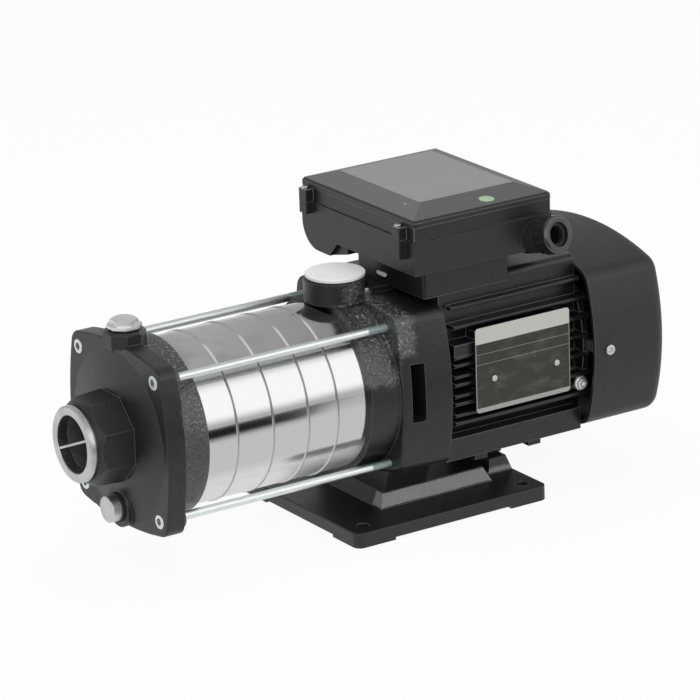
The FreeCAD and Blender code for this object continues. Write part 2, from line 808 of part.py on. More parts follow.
def priming_boss():
    inradius = PRIMING_BOSS_RADIUS * math.cos(math.pi / 8)
    boss = upright_prism(up(PRIMING_BOSS_ROOT), up(PRIMING_BOSS_HEIGHT), inradius, 8, priming_x())
    collar = turned_upright(
        [
            (0, PRIMING_BOSS_ROOT),
            (PRIMING_BOSS_RADIUS, PRIMING_BOSS_ROOT),
            (PRIMING_BOSS_RADIUS, PRIMING_BOSS_HEIGHT - PRIMING_BOSS_CHAMFER),
            (PRIMING_BOSS_RADIUS - PRIMING_BOSS_CHAMFER, PRIMING_BOSS_HEIGHT),
            (0, PRIMING_BOSS_HEIGHT),
        ],
        priming_x(),
    )
    return boss.common(collar)


def suction_cuts():
    chamber_x = CASING_BACK_X - CASING_CHAMBER_LENGTH
    insert_end = OCTAGON_FRONT_X + RING_INSERT_LENGTH
    sleeve_end = CASING_BACK_X - SLEEVE_SEAT
    cuts = [
        along_x(OCTAGON_FRONT_X, insert_end, RING_INSERT_RADIUS + SEAT_GAP),
        along_x(insert_end, chamber_x, SUCTION_BORE_RADIUS),
        along_x(chamber_x, CASING_BACK_X, CASING_CHAMBER_RADIUS),
        ring_x(sleeve_end, CASING_BACK_X, SLEEVE_RADIUS + SEAT_GAP, SPIGOT_RADIUS),
        o_ring_groove(sleeve_end),
        along_x(
            PLATE_FRONT_X - DRAIN_BOSS_PROUD, chamber_x,
            PLUG_THREAD_RADIUS + THREAD_FIT, 0, up(-DRAIN_DROP),
        ),
        along_z(
            up(CASING_CHAMBER_RADIUS) - PLUG_THREAD_LENGTH, up(PRIMING_BOSS_HEIGHT),
            PLUG_THREAD_RADIUS + THREAD_FIT, priming_x(),
        ),
    ]
    for y, z in rod_places():
        cuts.append(along_x(PLATE_FRONT_X, CASING_BACK_X, ROD_RADIUS + SCREW_FIT, y, up(z)))
        cuts.append(along_x(
            PLATE_FRONT_X, PLATE_FRONT_X + ROD_HEAD_LENGTH - ROD_HEAD_PROUD,
            ROD_HEAD_RADIUS + SCREW_FIT, y, up(z),
        ))
    return cuts


def o_ring_groove(sleeve_end):
    width = 2 * (O_RING_RADIUS + 2 * SEAT_GAP)
    floor = O_RING_PITCH_RADIUS - O_RING_RADIUS - SEAT_GAP
    return ring_x(sleeve_end, sleeve_end + width, SPIGOT_RADIUS, floor)


def suction_port_ring():
    """Clamp ring with a lip, a groove behind it and a flow web across its mouth"""
    flange_back = OCTAGON_FRONT_X - RING_NECK_LENGTH
    face_x = flange_back - RING_THICKNESS
    insert_end = OCTAGON_FRONT_X + RING_INSERT_LENGTH
    body = turned([
        (face_x, SUCTION_BORE_RADIUS + SUCTION_MOUTH_CHAMFER),
        (face_x, RING_RADIUS - RING_EDGE),
        (face_x + RING_EDGE, RING_RADIUS),
        (flange_back, RING_RADIUS),
        (flange_back, RING_NECK_RADIUS),
        (OCTAGON_FRONT_X, RING_NECK_RADIUS),
        (OCTAGON_FRONT_X, RING_INSERT_RADIUS),
        (insert_end, RING_INSERT_RADIUS),
        (insert_end, SUCTION_BORE_RADIUS),
        (face_x + SUCTION_MOUTH_CHAMFER, SUCTION_BORE_RADIUS),
    ])
    web_x = face_x + SPLITTER_SETBACK
    reach = (SUCTION_BORE_RADIUS + RING_INSERT_RADIUS) / 2
    web = block(
        web_x, web_x + SPLITTER_LENGTH, -reach, reach,
        SHAFT_HEIGHT - SPLITTER_THICKNESS / 2, SHAFT_HEIGHT + SPLITTER_THICKNESS / 2,
    )
    web.rotate(vec(0, 0, SHAFT_HEIGHT), vec(1, 0, 0), -SPLITTER_TILT)
    return joined(body, web)


def drain_plug():
    """Round-headed plug that screws in along the shaft direction"""
    seat_x = PLATE_FRONT_X - DRAIN_BOSS_PROUD - PLUG_GASKET_THICKNESS
    z = up(-DRAIN_DROP)
    head_front = seat_x - DRAIN_HEAD_LENGTH
    head = along_x(head_front, seat_x, DRAIN_HEAD_RADIUS, 0, z)
    head = head.makeFillet(PLUG_EDGE, edges_at(head, 0, head_front))
    shank = along_x(seat_x, seat_x + PLUG_THREAD_LENGTH, PLUG_THREAD_RADIUS, 0, z)
    return joined(head, shank)


def drain_plug_gasket():
    face_x = PLATE_FRONT_X - DRAIN_BOSS_PROUD
    z = up(-DRAIN_DROP)
    outer = along_x(face_x - PLUG_GASKET_THICKNESS, face_x, PLUG_GASKET_RADIUS, 0, z)
    inner_radius = PLUG_THREAD_RADIUS + SEAT_GAP
    return outer.cut(along_x(face_x - PLUG_GASKET_THICKNESS, face_x, inner_radius, 0, z))


def priming_plug():
    """Hexagon plug with an eight-sided flange in the upright boss"""
    x = priming_x()
    seat = up(PRIMING_BOSS_HEIGHT) + PLUG_GASKET_THICKNESS
    flange_top = seat + PRIMING_FLANGE_THICKNESS
    flange = upright_prism(seat, flange_top, PRIMING_FLANGE_INRADIUS, 8, x)
    hexagon = upright_prism(flange_top, flange_top + PRIMING_HEX_HEIGHT, PRIMING_HEX_INRADIUS, 6, x)
    top = flange_top + PRIMING_HEX_HEIGHT - SHAFT_HEIGHT
    corner = PRIMING_HEX_INRADIUS / math.cos(math.pi / 6)
    dome = turned_upright(
        [
            (0, top - PRIMING_HEX_HEIGHT),
            (corner, top - PRIMING_HEX_HEIGHT),
            (corner, top - PRIMING_HEX_CHAMFER),
            (corner - 2 * PRIMING_HEX_CHAMFER, top),
            (0, top),
        ],
        x,
    )
    shank = along_z(seat - PLUG_THREAD_LENGTH, seat, PLUG_THREAD_RADIUS, x)
    return joined(hexagon.common(dome), flange, shank)


def priming_plug_gasket():
    seat = up(PRIMING_BOSS_HEIGHT)
    outer = along_z(seat, seat + PLUG_GASKET_THICKNESS, PLUG_GASKET_RADIUS, priming_x())
    inner_radius = PLUG_THREAD_RADIUS + SEAT_GAP
    return outer.cut(along_z(seat, seat + PLUG_GASKET_THICKNESS, inner_radius, priming_x()))


# Sleeve and stages

def outer_sleeve():
    front = CASING_BACK_X - SLEEVE_SEAT
    rear = DISCHARGE_FRONT_X + SLEEVE_SEAT
    profile = [(front, SLEEVE_RADIUS)]
    for centre in BEAD_XS:
        profile += [
            (centre - BEAD_WIDTH / 2, SLEEVE_RADIUS),
            (centre - BEAD_CREST / 2, SLEEVE_RADIUS + BEAD_HEIGHT),
            (centre + BEAD_CREST / 2, SLEEVE_RADIUS + BEAD_HEIGHT),
            (centre + BEAD_WIDTH / 2, SLEEVE_RADIUS),
        ]
    profile += [(rear, SLEEVE_RADIUS), (rear, SLEEVE_BORE), (front, SLEEVE_BORE)]
    return turned(profile)


def sleeve_seals():
    half_groove = O_RING_RADIUS + 2 * SEAT_GAP
    centres = [
        CASING_BACK_X - SLEEVE_SEAT + half_groove,
        DISCHARGE_FRONT_X + SLEEVE_SEAT - half_groove,
    ]
    rings = [
        Part.makeTorus(O_RING_PITCH_RADIUS, O_RING_RADIUS, vec(x, 0, SHAFT_HEIGHT), vec(1, 0, 0))
        for x in centres
    ]
    return Part.makeCompound(rings)


def stage_chamber(index):
    """Cup with an eye ring in front and return vanes on a plate behind the impeller"""
    front = CASING_BACK_X + index * STAGE_PITCH
    rear = front + STAGE_PITCH
    plate_front = front + RETURN_PLATE_SETBACK
    plate_rear = plate_front + CHAMBER_WALL
    cup = turned([
        (front, CHAMBER_EYE_RADIUS),
        (front, CHAMBER_RADIUS),
        (rear, CHAMBER_RADIUS),
        (rear, CHAMBER_RADIUS - CHAMBER_WALL),
        (front + CHAMBER_WALL, CHAMBER_RADIUS - CHAMBER_WALL),
        (front + CHAMBER_WALL, CHAMBER_EYE_RADIUS),
    ])
    plate = ring_x(plate_front, plate_rear, RETURN_PLATE_RADIUS, RETURN_HUB_RADIUS)
    vane = curved_vane(
        plate_rear - CHAMBER_WALL / 2, plate_rear + RETURN_VANE_HEIGHT,
        RETURN_VANE_INNER, CHAMBER_RADIUS - CHAMBER_WALL / 2,
        RETURN_VANE_SWEEP, RETURN_VANE_THICKNESS,
    )
    return joined(cup, plate, *turned_copies(vane, RETURN_VANES))


def impeller(index):
    """Closed impeller with backward-bent vanes between two shrouds"""
    stage_front = CASING_BACK_X + index * STAGE_PITCH
    front = stage_front + IMPELLER_SETBACK
    channel_front = front + IMPELLER_WALL
    channel_rear = channel_front + IMPELLER_CHANNEL
    rear = channel_rear + IMPELLER_WALL
    neck_bore = IMPELLER_NECK_RADIUS - IMPELLER_NECK_WALL
    front_shroud = turned([
        (stage_front + RUNNING_GAP, neck_bore),
        (stage_front + RUNNING_GAP, IMPELLER_NECK_RADIUS),
        (front, IMPELLER_NECK_RADIUS),
        (front, IMPELLER_RADIUS),
        (channel_front, IMPELLER_RADIUS),
        (channel_front, neck_bore),
    ])
    hub_bore = PUMP_SHAFT_RADIUS + SHAFT_FIT
    back_shroud = turned([
        (front, hub_bore),
        (front, IMPELLER_HUB_RADIUS),
        (channel_rear, IMPELLER_HUB_RADIUS),
        (channel_rear, IMPELLER_RADIUS),
        (rear, IMPELLER_RADIUS),
        (rear, hub_bore),
    ])
    vane = curved_vane(
        channel_front - IMPELLER_WALL / 2, channel_rear + IMPELLER_WALL / 2,
        IMPELLER_VANE_INNER + IMPELLER_NECK_WALL, IMPELLER_RADIUS,
        IMPELLER_VANE_SWEEP, IMPELLER_VANE_THICKNESS,
    )
    return joined(back_shroud, front_shroud, *turned_copies(vane, IMPELLER_VANES))


def impeller_rear(index):
    front = CASING_BACK_X + index * STAGE_PITCH + IMPELLER_SETBACK
    return front + 2 * IMPELLER_WALL + IMPELLER_CHANNEL


def impeller_spacers():
    bore = PUMP_SHAFT_RADIUS + SHAFT_FIT
    spacers = []
    for i in range(STAGES - 1):
        next_front = CASING_BACK_X + (i + 1) * STAGE_PITCH + IMPELLER_SETBACK
        spacers.append(ring_x(impeller_rear(i), next_front, SPACER_RADIUS, bore))
    spacers.append(ring_x(impeller_rear(STAGES - 1), bellows_front(), SPACER_RADIUS, bore))
    return Part.makeCompound(spacers)


# Shaft and its seal

def seal_seat_x():
    return DISCHARGE_FRONT_X + DISCHARGE_CHAMBER_LENGTH


def bellows_front():
    return seal_seat_x() - SEAL_FACE_GAP - SEAL_FACE_LENGTH - BELLOWS_LENGTH


def nut_front():
    return CASING_BACK_X + IMPELLER_SETBACK - NUT_WASHER_THICKNESS - NUT_LENGTH


def shaft():
    core_front = MOTOR_FLANGE_X
    core_rear = rear_bearing_x()
    fan_rear = fan_front() + FAN_LENGTH
    lantern_x = seal_seat_x() + SEAL_WALL_LENGTH
    return turned([
        (nut_front() - SHAFT_TIP_LENGTH, 0),
        (nut_front() - SHAFT_TIP_LENGTH, PUMP_SHAFT_RADIUS - SHAFT_TIP_CHAMFER),
        (nut_front() - SHAFT_TIP_LENGTH + SHAFT_TIP_CHAMFER, PUMP_SHAFT_RADIUS),
        (lantern_x, PUMP_SHAFT_RADIUS),
        (lantern_x, BEARING_SEAT_RADIUS),
        (core_front, BEARING_SEAT_RADIUS),
        (core_front, CORE_SEAT_RADIUS),
        (core_rear, CORE_SEAT_RADIUS),
        (core_rear, BEARING_SEAT_RADIUS),
        (core_rear + BEARING_WIDTH + PRELOAD_LENGTH, BEARING_SEAT_RADIUS),
        (core_rear + BEARING_WIDTH + PRELOAD_LENGTH, FAN_SEAT_RADIUS),
        (fan_rear, FAN_SEAT_RADIUS),
        (fan_rear, 0),
    ])


def impeller_nut():
    """Flanged nut on the shaft's tip"""
    front = nut_front()
    washer_front = front + NUT_LENGTH
    bore = PUMP_SHAFT_RADIUS + SHAFT_FIT
    hexagon = Part.Face(prism_wire(front, NUT_INRADIUS, 6)).extrude(vec(NUT_LENGTH, 0, 0))
    washer = along_x(washer_front, washer_front + NUT_WASHER_THICKNESS, NUT_WASHER_RADIUS)
    body = joined(hexagon, washer)
    return body.cut(along_x(front, washer_front + NUT_WASHER_THICKNESS, bore))


def seal_bellows():
    """Folded rubber bellows that turns with the shaft"""
    front = bellows_front()
    bore = PUMP_SHAFT_RADIUS + SHAFT_FIT
    fold = BELLOWS_LENGTH / (2 * BELLOWS_FOLDS)
    profile = [(front, bore)]
    for i in range(2 * BELLOWS_FOLDS + 1):
        radius = BELLOWS_OUTER if i % 2 == 0 else BELLOWS_INNER
        profile.append((front + i * fold, radius))
    profile.append((front + BELLOWS_LENGTH, bore))
    return turned(profile)


def seal_face():
    rear = seal_seat_x() - SEAL_FACE_GAP
    return ring_x(rear - SEAL_FACE_LENGTH, rear, SEAL_FACE_RADIUS, PUMP_SHAFT_RADIUS + SHAFT_FIT)


def seal_seat():
    x = seal_seat_x()
    return ring_x(x, x + SEAT_RING_LENGTH, SEAT_RING_RADIUS, SEAT_RING_BORE)


def slinger():
    """Disc that throws leakage off the shaft before it reaches the bearing"""
    x = seal_seat_x() + SEAL_WALL_LENGTH + LANTERN_LENGTH / 2
    return turned([
        (x, BEARING_SEAT_RADIUS + SHAFT_FIT),
        (x, SLINGER_RADIUS),
        (x + SLINGER_THICKNESS / 2, SLINGER_RADIUS),
        (x + SLINGER_THICKNESS, BEARING_SEAT_RADIUS + SLINGER_THICKNESS),
        (x + 2 * SLINGER_THICKNESS, BEARING_SEAT_RADIUS + SLINGER_THICKNESS),
        (x + 2 * SLINGER_THICKNESS, BEARING_SEAT_RADIUS + SHAFT_FIT),
    ])


# Discharge bracket

def discharge_bracket():
    body = bulged_body(
        BRACKET_FRONT_X, BRACKET_FRONT_OUTLINE, MOTOR_FLANGE_X, BRACKET_REAR_OUTLINE, BRACKET_CORNER
    )
    body = body.makeFillet(BRACKET_EDGE_BLEND, edges_at(body, 0, BRACKET_FRONT_X))
    neck = along_z(up(PORT_NECK_BOTTOM), up(PORT_NECK_TOP), PORT_NECK_RADIUS, PORT_X)
    neck = neck.makeFillet(PORT_NECK_BLEND, edges_at(neck, 2, up(PORT_NECK_TOP)))
    platform = block(
        BRACKET_FRONT_X, MOTOR_FLANGE_X, -PLATFORM_HALF_WIDTH, PLATFORM_HALF_WIDTH,
        up(PLATFORM_ROOT), up(PLATFORM_TOP),
    )
    boss = along_z(
        up(PORT_NECK_BOTTOM), up(PLATFORM_SCREW_SEAT), PLATFORM_SCREW_BOSS_RADIUS,
        PLATFORM_SCREW_X, PLATFORM_SCREW_Y,
    )
    casting = joined(body, discharge_body(), neck, platform, boss, bracket_foot())
    return casting.cut(bracket_cuts())


def discharge_body():
    """Round body of the discharge chamber, wider than high where it meets the bracket"""
    rear_x = BRACKET_FRONT_X + BRACKET_EDGE_BLEND
    front = Part.Circle(vec(DISCHARGE_FRONT_X, 0, SHAFT_HEIGHT), vec(1, 0, 0), DISCHARGE_BODY_FRONT_RADIUS)
    rear = Part.Ellipse(
        vec(rear_x, -DISCHARGE_BODY_REAR_WIDTH, SHAFT_HEIGHT),
        vec(rear_x, 0, up(DISCHARGE_BODY_REAR_HEIGHT)),
        vec(rear_x, 0, SHAFT_HEIGHT),
    )
    wires = [Part.Wire(front.toShape()), Part.Wire(rear.toShape())]
    return Part.makeLoft(wires, True, True)


def bracket_foot():
    """Foot under the bracket, narrower at its sole"""

    def level(z, half_width):
        xs = FOOT_FRONT_X, FOOT_REAR_X
        points = [
            vec(xs[0], -half_width, z), vec(xs[1], -half_width, z),
            vec(xs[1], half_width, z), vec(xs[0], half_width, z),
        ]
        return Part.makePolygon(points + points[:1])

    wires = [level(RISER_TOP, FOOT_BOTTOM_HALF_WIDTH), level(up(FOOT_ROOT), FOOT_TOP_HALF_WIDTH)]
    return Part.makeLoft(wires, True, True)


def bracket_cuts():
    seat_x = seal_seat_x()
    lantern_x = seat_x + SEAL_WALL_LENGTH
    sleeve_end = DISCHARGE_FRONT_X + SLEEVE_SEAT
    groove_width = 2 * (O_RING_RADIUS + 2 * SEAT_GAP)
    thread_bottom = PORT_NECK_TOP - PORT_THREAD_LENGTH
    recess = PORT_NECK_TOP - PORT_RECESS_DEPTH
    half_window = BRACKET_REAR_OUTLINE.side + BRACKET_EDGE_BLEND
    window_x = BRACKET_FRONT_X + WINDOW_SETBACK
    cuts = [
        ring_x(DISCHARGE_FRONT_X, sleeve_end, SLEEVE_RADIUS + SEAT_GAP, SPIGOT_RADIUS),
        o_ring_groove(sleeve_end - groove_width),
        along_x(DISCHARGE_FRONT_X, seat_x, DISCHARGE_CHAMBER_RADIUS),
        along_x(seat_x, seat_x + SEAT_RING_LENGTH, SEAT_RING_RADIUS + SEAT_GAP),
        along_x(seat_x, lantern_x, SEAT_RING_BORE),
        along_x(lantern_x, lantern_x + LANTERN_LENGTH, LANTERN_RADIUS),
        along_x(lantern_x, MOTOR_FLANGE_X, BEARING_SHOULDER),
        along_x(MOTOR_FLANGE_X - BEARING_WIDTH, MOTOR_FLANGE_X, BEARING_OUTER_RADIUS + SEAT_GAP),
        turned_upright(
            [
                (0, thread_bottom),
                (PORT_THREAD_RADIUS, thread_bottom),
                (PORT_THREAD_RADIUS, recess - PORT_MOUTH_CHAMFER),
                (PORT_THREAD_RADIUS + PORT_MOUTH_CHAMFER, recess),
                (CAP_COLLAR_RADIUS + SEAT_GAP, recess),
                (CAP_COLLAR_RADIUS + SEAT_GAP, PORT_NECK_TOP),
                (0, PORT_NECK_TOP),
            ],
            PORT_X,
        ),
        along_z(up(PASSAGE_DEPTH), up(thread_bottom), PASSAGE_RADIUS, PASSAGE_X),
        block(
            window_x, window_x + WINDOW_WIDTH, -half_window, half_window,
            up(WINDOW_LOW), up(WINDOW_HIGH),
        ),
        along_z(
            up(PLATFORM_SCREW_SEAT) - PLATFORM_SCREW_DEPTH, up(PLATFORM_SCREW_SEAT),
            PLATFORM_SCREW_SHANK + THREAD_FIT, PLATFORM_SCREW_X, PLATFORM_SCREW_Y,
        ),
    ]
    for y, z in rod_places():
        depth = BRACKET_FRONT_X + ROD_THREAD_LENGTH
        cuts.append(along_x(DISCHARGE_FRONT_X, depth, ROD_RADIUS + THREAD_FIT, y, up(z)))
    for y in (-FOOT_BOLT_Y, FOOT_BOLT_Y):
        top = FOOT_BOLT_SEAT + FOOT_BOLT_LENGTH + SCREW_TIP_GAP
        cuts.append(along_z(RISER_TOP, top, FOOT_BOLT_RADIUS + THREAD_FIT, FOOT_BOLT_X, y))
    return cuts


def platform_screw():
    """Small screw on top of the bracket"""
    top = up(PLATFORM_SCREW_SEAT)
    head_top = top + PLATFORM_SCREW_HEIGHT
    head = along_z(top, head_top, PLATFORM_SCREW_RADIUS, PLATFORM_SCREW_X, PLATFORM_SCREW_Y)
    head = head.makeFillet(SCREW_EDGE, edges_at(head, 2, head_top))
    bottom = top - PLATFORM_SCREW_DEPTH + SCREW_TIP_GAP
    shank = along_z(bottom, top, PLATFORM_SCREW_SHANK, PLATFORM_SCREW_X, PLATFORM_SCREW_Y)
    return joined(head, shank)


def discharge_cap():
    """Dust cap of the discharge port, whose low collar sits in the recess round the thread"""
    under = PORT_NECK_TOP + CAP_GAP
    top = under + CAP_THICKNESS
    collar_end = PORT_NECK_TOP - CAP_COLLAR_DEPTH
    return turned_upright(
        [
            (0, under),
            (CAP_COLLAR_RADIUS - CAP_COLLAR_WALL, under),
            (CAP_COLLAR_RADIUS - CAP_COLLAR_WALL, collar_end),
            (CAP_COLLAR_RADIUS, collar_end),
            (CAP_COLLAR_RADIUS, under),
            (CAP_RADIUS, under),
            (CAP_RADIUS, top - CAP_EDGE),
            (CAP_RADIUS - CAP_EDGE, top),
            (0, top),
        ],
        PORT_X,
    )


def tie_rods():
    """Long screws that clamp the sleeve between the two castings"""
    head_front = PLATE_FRONT_X - ROD_HEAD_PROUD
    end = BRACKET_FRONT_X + ROD_THREAD_LENGTH - SCREW_TIP_GAP
    rods = []
    for y, z in rod_places():
        head = along_x(head_front, head_front + ROD_HEAD_LENGTH, ROD_HEAD_RADIUS, y, up(z))
        head = head.makeFillet(SCREW_EDGE, edges_at(head, 0, head_front))
        socket = Part.Face(prism_wire(head_front, ROD_SOCKET_WIDTH / 2, 6))
        socket = socket.extrude(vec(ROD_SOCKET_DEPTH, 0, 0))
        socket.translate(vec(0, y, z))
        rod = along_x(head_front + ROD_HEAD_LENGTH, end, ROD_RADIUS, y, up(z))
        rods.append(joined(head.cut(socket), rod))
    return Part.makeCompound(rods)


# Bearings

def bearing_outer(x):
    race = ring_x(x, x + BEARING_WIDTH, BEARING_OUTER_RADIUS, BEARING_OUTER_RADIUS - BEARING_RING_WALL)
    return race.cut(ball_track(x))


def bearing_inner(x):
    """Inner ring with its balls, which ride with it"""
    outer = BEARING_SEAT_RADIUS + SHAFT_FIT + BEARING_RING_WALL
    ring = ring_x(x, x + BEARING_WIDTH, outer, BEARING_SEAT_RADIUS + SHAFT_FIT)
    centre = vec(x + BEARING_WIDTH / 2, 0, up(BEARING_PITCH_RADIUS))
    balls = turned_copies(Part.makeSphere(BALL_RADIUS, centre), BALLS)
    return Part.makeCompound([ring.cut(ball_track(x))] + balls)


def ball_track(x):
    centre = vec(x + BEARING_WIDTH / 2, 0, SHAFT_HEIGHT)
    return Part.makeTorus(BEARING_PITCH_RADIUS, BALL_RADIUS + SHAFT_FIT, centre, vec(1, 0, 0))


def front_bearing_x():
    return MOTOR_FLANGE_X - BEARING_WIDTH


def rear_bearing_x():
    return FRAME_REAR_X - REAR_BEARING_SETBACK


def preload_spring():
    """Wave washer behind the rear bearing, drawn flat"""
    x = rear_bearing_x() + BEARING_WIDTH
    return ring_x(x, x + PRELOAD_LENGTH, PRELOAD_OUTER, PRELOAD_INNER)


# Motor

def fin(z, root, tip, x_start, x_end):
    """Pair of cooling fins with rounded tips, one each side"""
    low = up(z) - FIN_THICKNESS / 2
    high = up(z) + FIN_THICKNESS / 2
    pair = []
    for side in (-1, 1):
        ys = sorted((side * root, side * tip))
        plate = block(x_start, x_end, ys[0], ys[1], low, high)
        tips = edges_at(plate, 1, side * tip)
        pair.append(plate.makeFillet(FIN_TIP_BLEND, tips))
    return pair


def motor_frame():
    """Finned frame with the seat of the terminal box on top"""
    shell = rounded_block(
        MOTOR_FLANGE_X, FRAME_REAR_X, -FRAME_HALF_WIDTH, FRAME_HALF_WIDTH,
        up(FRAME_BOTTOM), up(FRAME_TOP), FRAME_CORNER, 0,
    )
    fin_start = MOTOR_FLANGE_X + FIN_START
    short_end = COVER_FRONT_X - SHORT_FIN_SETBACK
    pieces = [shell]
    for i in range(FINS):
        pieces += fin(FIN_LOWEST + i * FIN_PITCH, RAIL_ROOT, FIN_TIP, fin_start, FRAME_REAR_X)
    for i in range(1, SHORT_FINS + 1):
        z = FIN_LOWEST + i * FIN_PITCH - SHORT_FIN_DROP
        pieces += fin(z, RAIL_ROOT, FIN_TIP, fin_start, short_end)
    pieces += fin(SHOULDER_FIN_Z, SHOULDER_FIN_ROOT, SHOULDER_FIN_TIP, fin_start, COVER_FRONT_X)
    pieces += rails_and_feet()
    pieces += [shoulder(), pedestal(), frame_flange(), fin_pad(), nameplate_pad(), earth_boss()]
    frame = joined(*pieces)
    return frame.cut(frame_cuts())


def frame_flange():
    """Low flange round the rear end, under the edge of the fan cover"""
    outline = shrunk(COVER_OUTLINE, FRAME_FLANGE_INSET)
    front = FRAME_REAR_X - FRAME_FLANGE_THICKNESS
    return bulged_body(front, outline, FRAME_REAR_X, outline, PLATE_CORNER)


def fin_pad():
    """Solid patch between two fins in front of the nameplate"""
    start = MOTOR_FLANGE_X + FIN_START
    return block(
        start, start + FIN_PAD_LENGTH, -FIN_TIP, -FRAME_HALF_WIDTH + PAD_ROOT,
        up(FIN_PAD_LOW), up(FIN_PAD_HIGH),
    )


def rails_and_feet():
    pieces = []
    for side in (-1, 1):
        ys = sorted((side * RAIL_ROOT, side * RAIL_REACH))
        pieces.append(block(
            MOTOR_FLANGE_X, COVER_FRONT_X, ys[0], ys[1], up(RAIL_BOTTOM), up(RAIL_TOP)
        ))
        ys = sorted((side * STUB_FOOT_Y, side * (STUB_FOOT_Y + STUB_FOOT_WIDTH)))
        for x in STUB_FOOT_XS:
            pieces.append(block(
                x, x + STUB_FOOT_LENGTH, ys[0], ys[1], up(STUB_FOOT_BOTTOM), up(RAIL_TOP)
            ))
    centre_x = REAR_RISER_X + REAR_RISER_LENGTH / 2
    pieces.append(block(
        centre_x - MOTOR_FOOT_LENGTH / 2, centre_x + MOTOR_FOOT_LENGTH / 2,
        -MOTOR_FOOT_HALF_WIDTH, MOTOR_FOOT_HALF_WIDTH, RISER_TOP, up(FRAME_BOTTOM + PAD_ROOT),
    ))
    return pieces


def pedestal_top():
    return up(BOX_BOTTOM) - GASKET_THICKNESS


def shoulder():
    """Smooth upper part of the frame between the box seat and the fan cover"""
    body = block(
        PEDESTAL_FRONT_X + PEDESTAL_LENGTH - PEDESTAL_CORNER, COVER_FRONT_X,
        -SHOULDER_HALF_WIDTH, SHOULDER_HALF_WIDTH, up(SHOULDER_ROOT), up(SHOULDER_TOP),
    )
    upper = [edge for edge in edges_along(body, 0) if edge.CenterOfMass.z > up(FRAME_TOP)]
    body = body.makeFillet(SHOULDER_CORNER, [edge for edge in upper if edge.CenterOfMass.y < 0])
    top = edges_at(body, 2, up(SHOULDER_TOP))
    far = [edge for edge in top if edge.CenterOfMass.y > SHOULDER_ROOT]
    return body.makeFillet(SHOULDER_FAR_CORNER, far)


def pedestal():
    """Seat of the terminal box, which reaches forward over the bracket"""
    rear_x = PEDESTAL_FRONT_X + PEDESTAL_LENGTH
    seat = rounded_block(
        PEDESTAL_FRONT_X, rear_x, PEDESTAL_NEAR_Y, PEDESTAL_FAR_Y,
        up(PLATFORM_TOP) + RUNNING_GAP, pedestal_top(), PEDESTAL_CORNER,
    )
    stem = block(
        MOTOR_FLANGE_X, rear_x - PEDESTAL_CORNER, -SHOULDER_HALF_WIDTH, PEDESTAL_FAR_Y,
        up(SHOULDER_ROOT), pedestal_top(),
    )
    return seat.fuse(stem)


def pedestal_bore_x():
    return PEDESTAL_FRONT_X + PEDESTAL_LENGTH / 2


def seat_plug():
    """Flat oval plug on the front of the box seat"""
    half = SEAT_PLUG_LENGTH / 2
    radius = SEAT_PLUG_HEIGHT / 2
    z = up(SEAT_PLUG_Z)
    front = PEDESTAL_FRONT_X - SEAT_PLUG_PROUD
    bar = block(
        front, PEDESTAL_FRONT_X, SEAT_PLUG_Y - half + radius, SEAT_PLUG_Y + half - radius,
        z - radius, z + radius,
    )
    ends = [
        along_x(front, PEDESTAL_FRONT_X, radius, SEAT_PLUG_Y + side * (half - radius), z)
        for side in (-1, 1)
    ]
    stem_end = PEDESTAL_FRONT_X + SEAT_PLUG_DEPTH
    stem = along_x(front, stem_end, SEAT_PLUG_STEM_RADIUS, SEAT_PLUG_Y, z)
    return joined(bar, stem, *ends)


def nameplate_front_y():
    return -FIN_TIP - NAMEPLATE_PAD_PROUD


def nameplate_pad():
    return block(
        NAMEPLATE_X + NAMEPLATE_PAD_MARGIN, NAMEPLATE_X + NAMEPLATE_LENGTH - NAMEPLATE_PAD_MARGIN,
        nameplate_front_y(), -FRAME_HALF_WIDTH + PAD_ROOT,
        up(NAMEPLATE_LOW + NAMEPLATE_PAD_MARGIN), up(NAMEPLATE_HIGH - NAMEPLATE_PAD_MARGIN),
    )


def earth_boss():
    z = up(EARTH_SCREW_Z)
    return along_y(
        -FRAME_HALF_WIDTH + PAD_ROOT, -FIN_TIP, EARTH_BOSS_RADIUS, EARTH_SCREW_X, z
    )


def frame_cuts():
    z = up(EARTH_SCREW_Z)
    cuts = [
        along_x(MOTOR_FLANGE_X, FRAME_REAR_X, STATOR_BORE + SEAT_GAP),
        along_z(SHAFT_HEIGHT, pedestal_top(), PEDESTAL_BORE, pedestal_bore_x()),
        along_x(
            PEDESTAL_FRONT_X, PEDESTAL_FRONT_X + SEAT_PLUG_DEPTH + SCREW_TIP_GAP,
            SEAT_PLUG_STEM_RADIUS + THREAD_FIT, SEAT_PLUG_Y, up(SEAT_PLUG_Z),
        ),
        along_y(
            -FIN_TIP, -FIN_TIP + EARTH_SHANK_LENGTH + SCREW_TIP_GAP,
            EARTH_SHANK_RADIUS + THREAD_FIT, EARTH_SCREW_X, z,
        ),
    ]
    for x in RIVET_XS:
        y = nameplate_front_y()
        depth = RIVET_LENGTH + SCREW_TIP_GAP
        cuts.append(along_y(y, y + depth, RIVET_RADIUS + SEAT_GAP, x, up(RIVET_Z)))
    return cuts


def stator_core():
    bore = ROTOR_RADIUS + AIR_GAP
    return ring_x(CORE_FRONT_X, CORE_FRONT_X + CORE_LENGTH, STATOR_BORE, bore)


def stator_winding():
    """Rounded end turns at both ends of the stator core"""
    coils = []
    for start, end in (
        (CORE_FRONT_X - WINDING_OVERHANG, CORE_FRONT_X),
        (CORE_FRONT_X + CORE_LENGTH, CORE_FRONT_X + CORE_LENGTH + WINDING_OVERHANG),
    ):
        coil = ring_x(start, end, WINDING_OUTER, WINDING_INNER)
        free_end = start if start < CORE_FRONT_X else end
        coils.append(coil.makeFillet(WINDING_BLEND, edges_at(coil, 0, free_end)))
    return Part.makeCompound(coils)


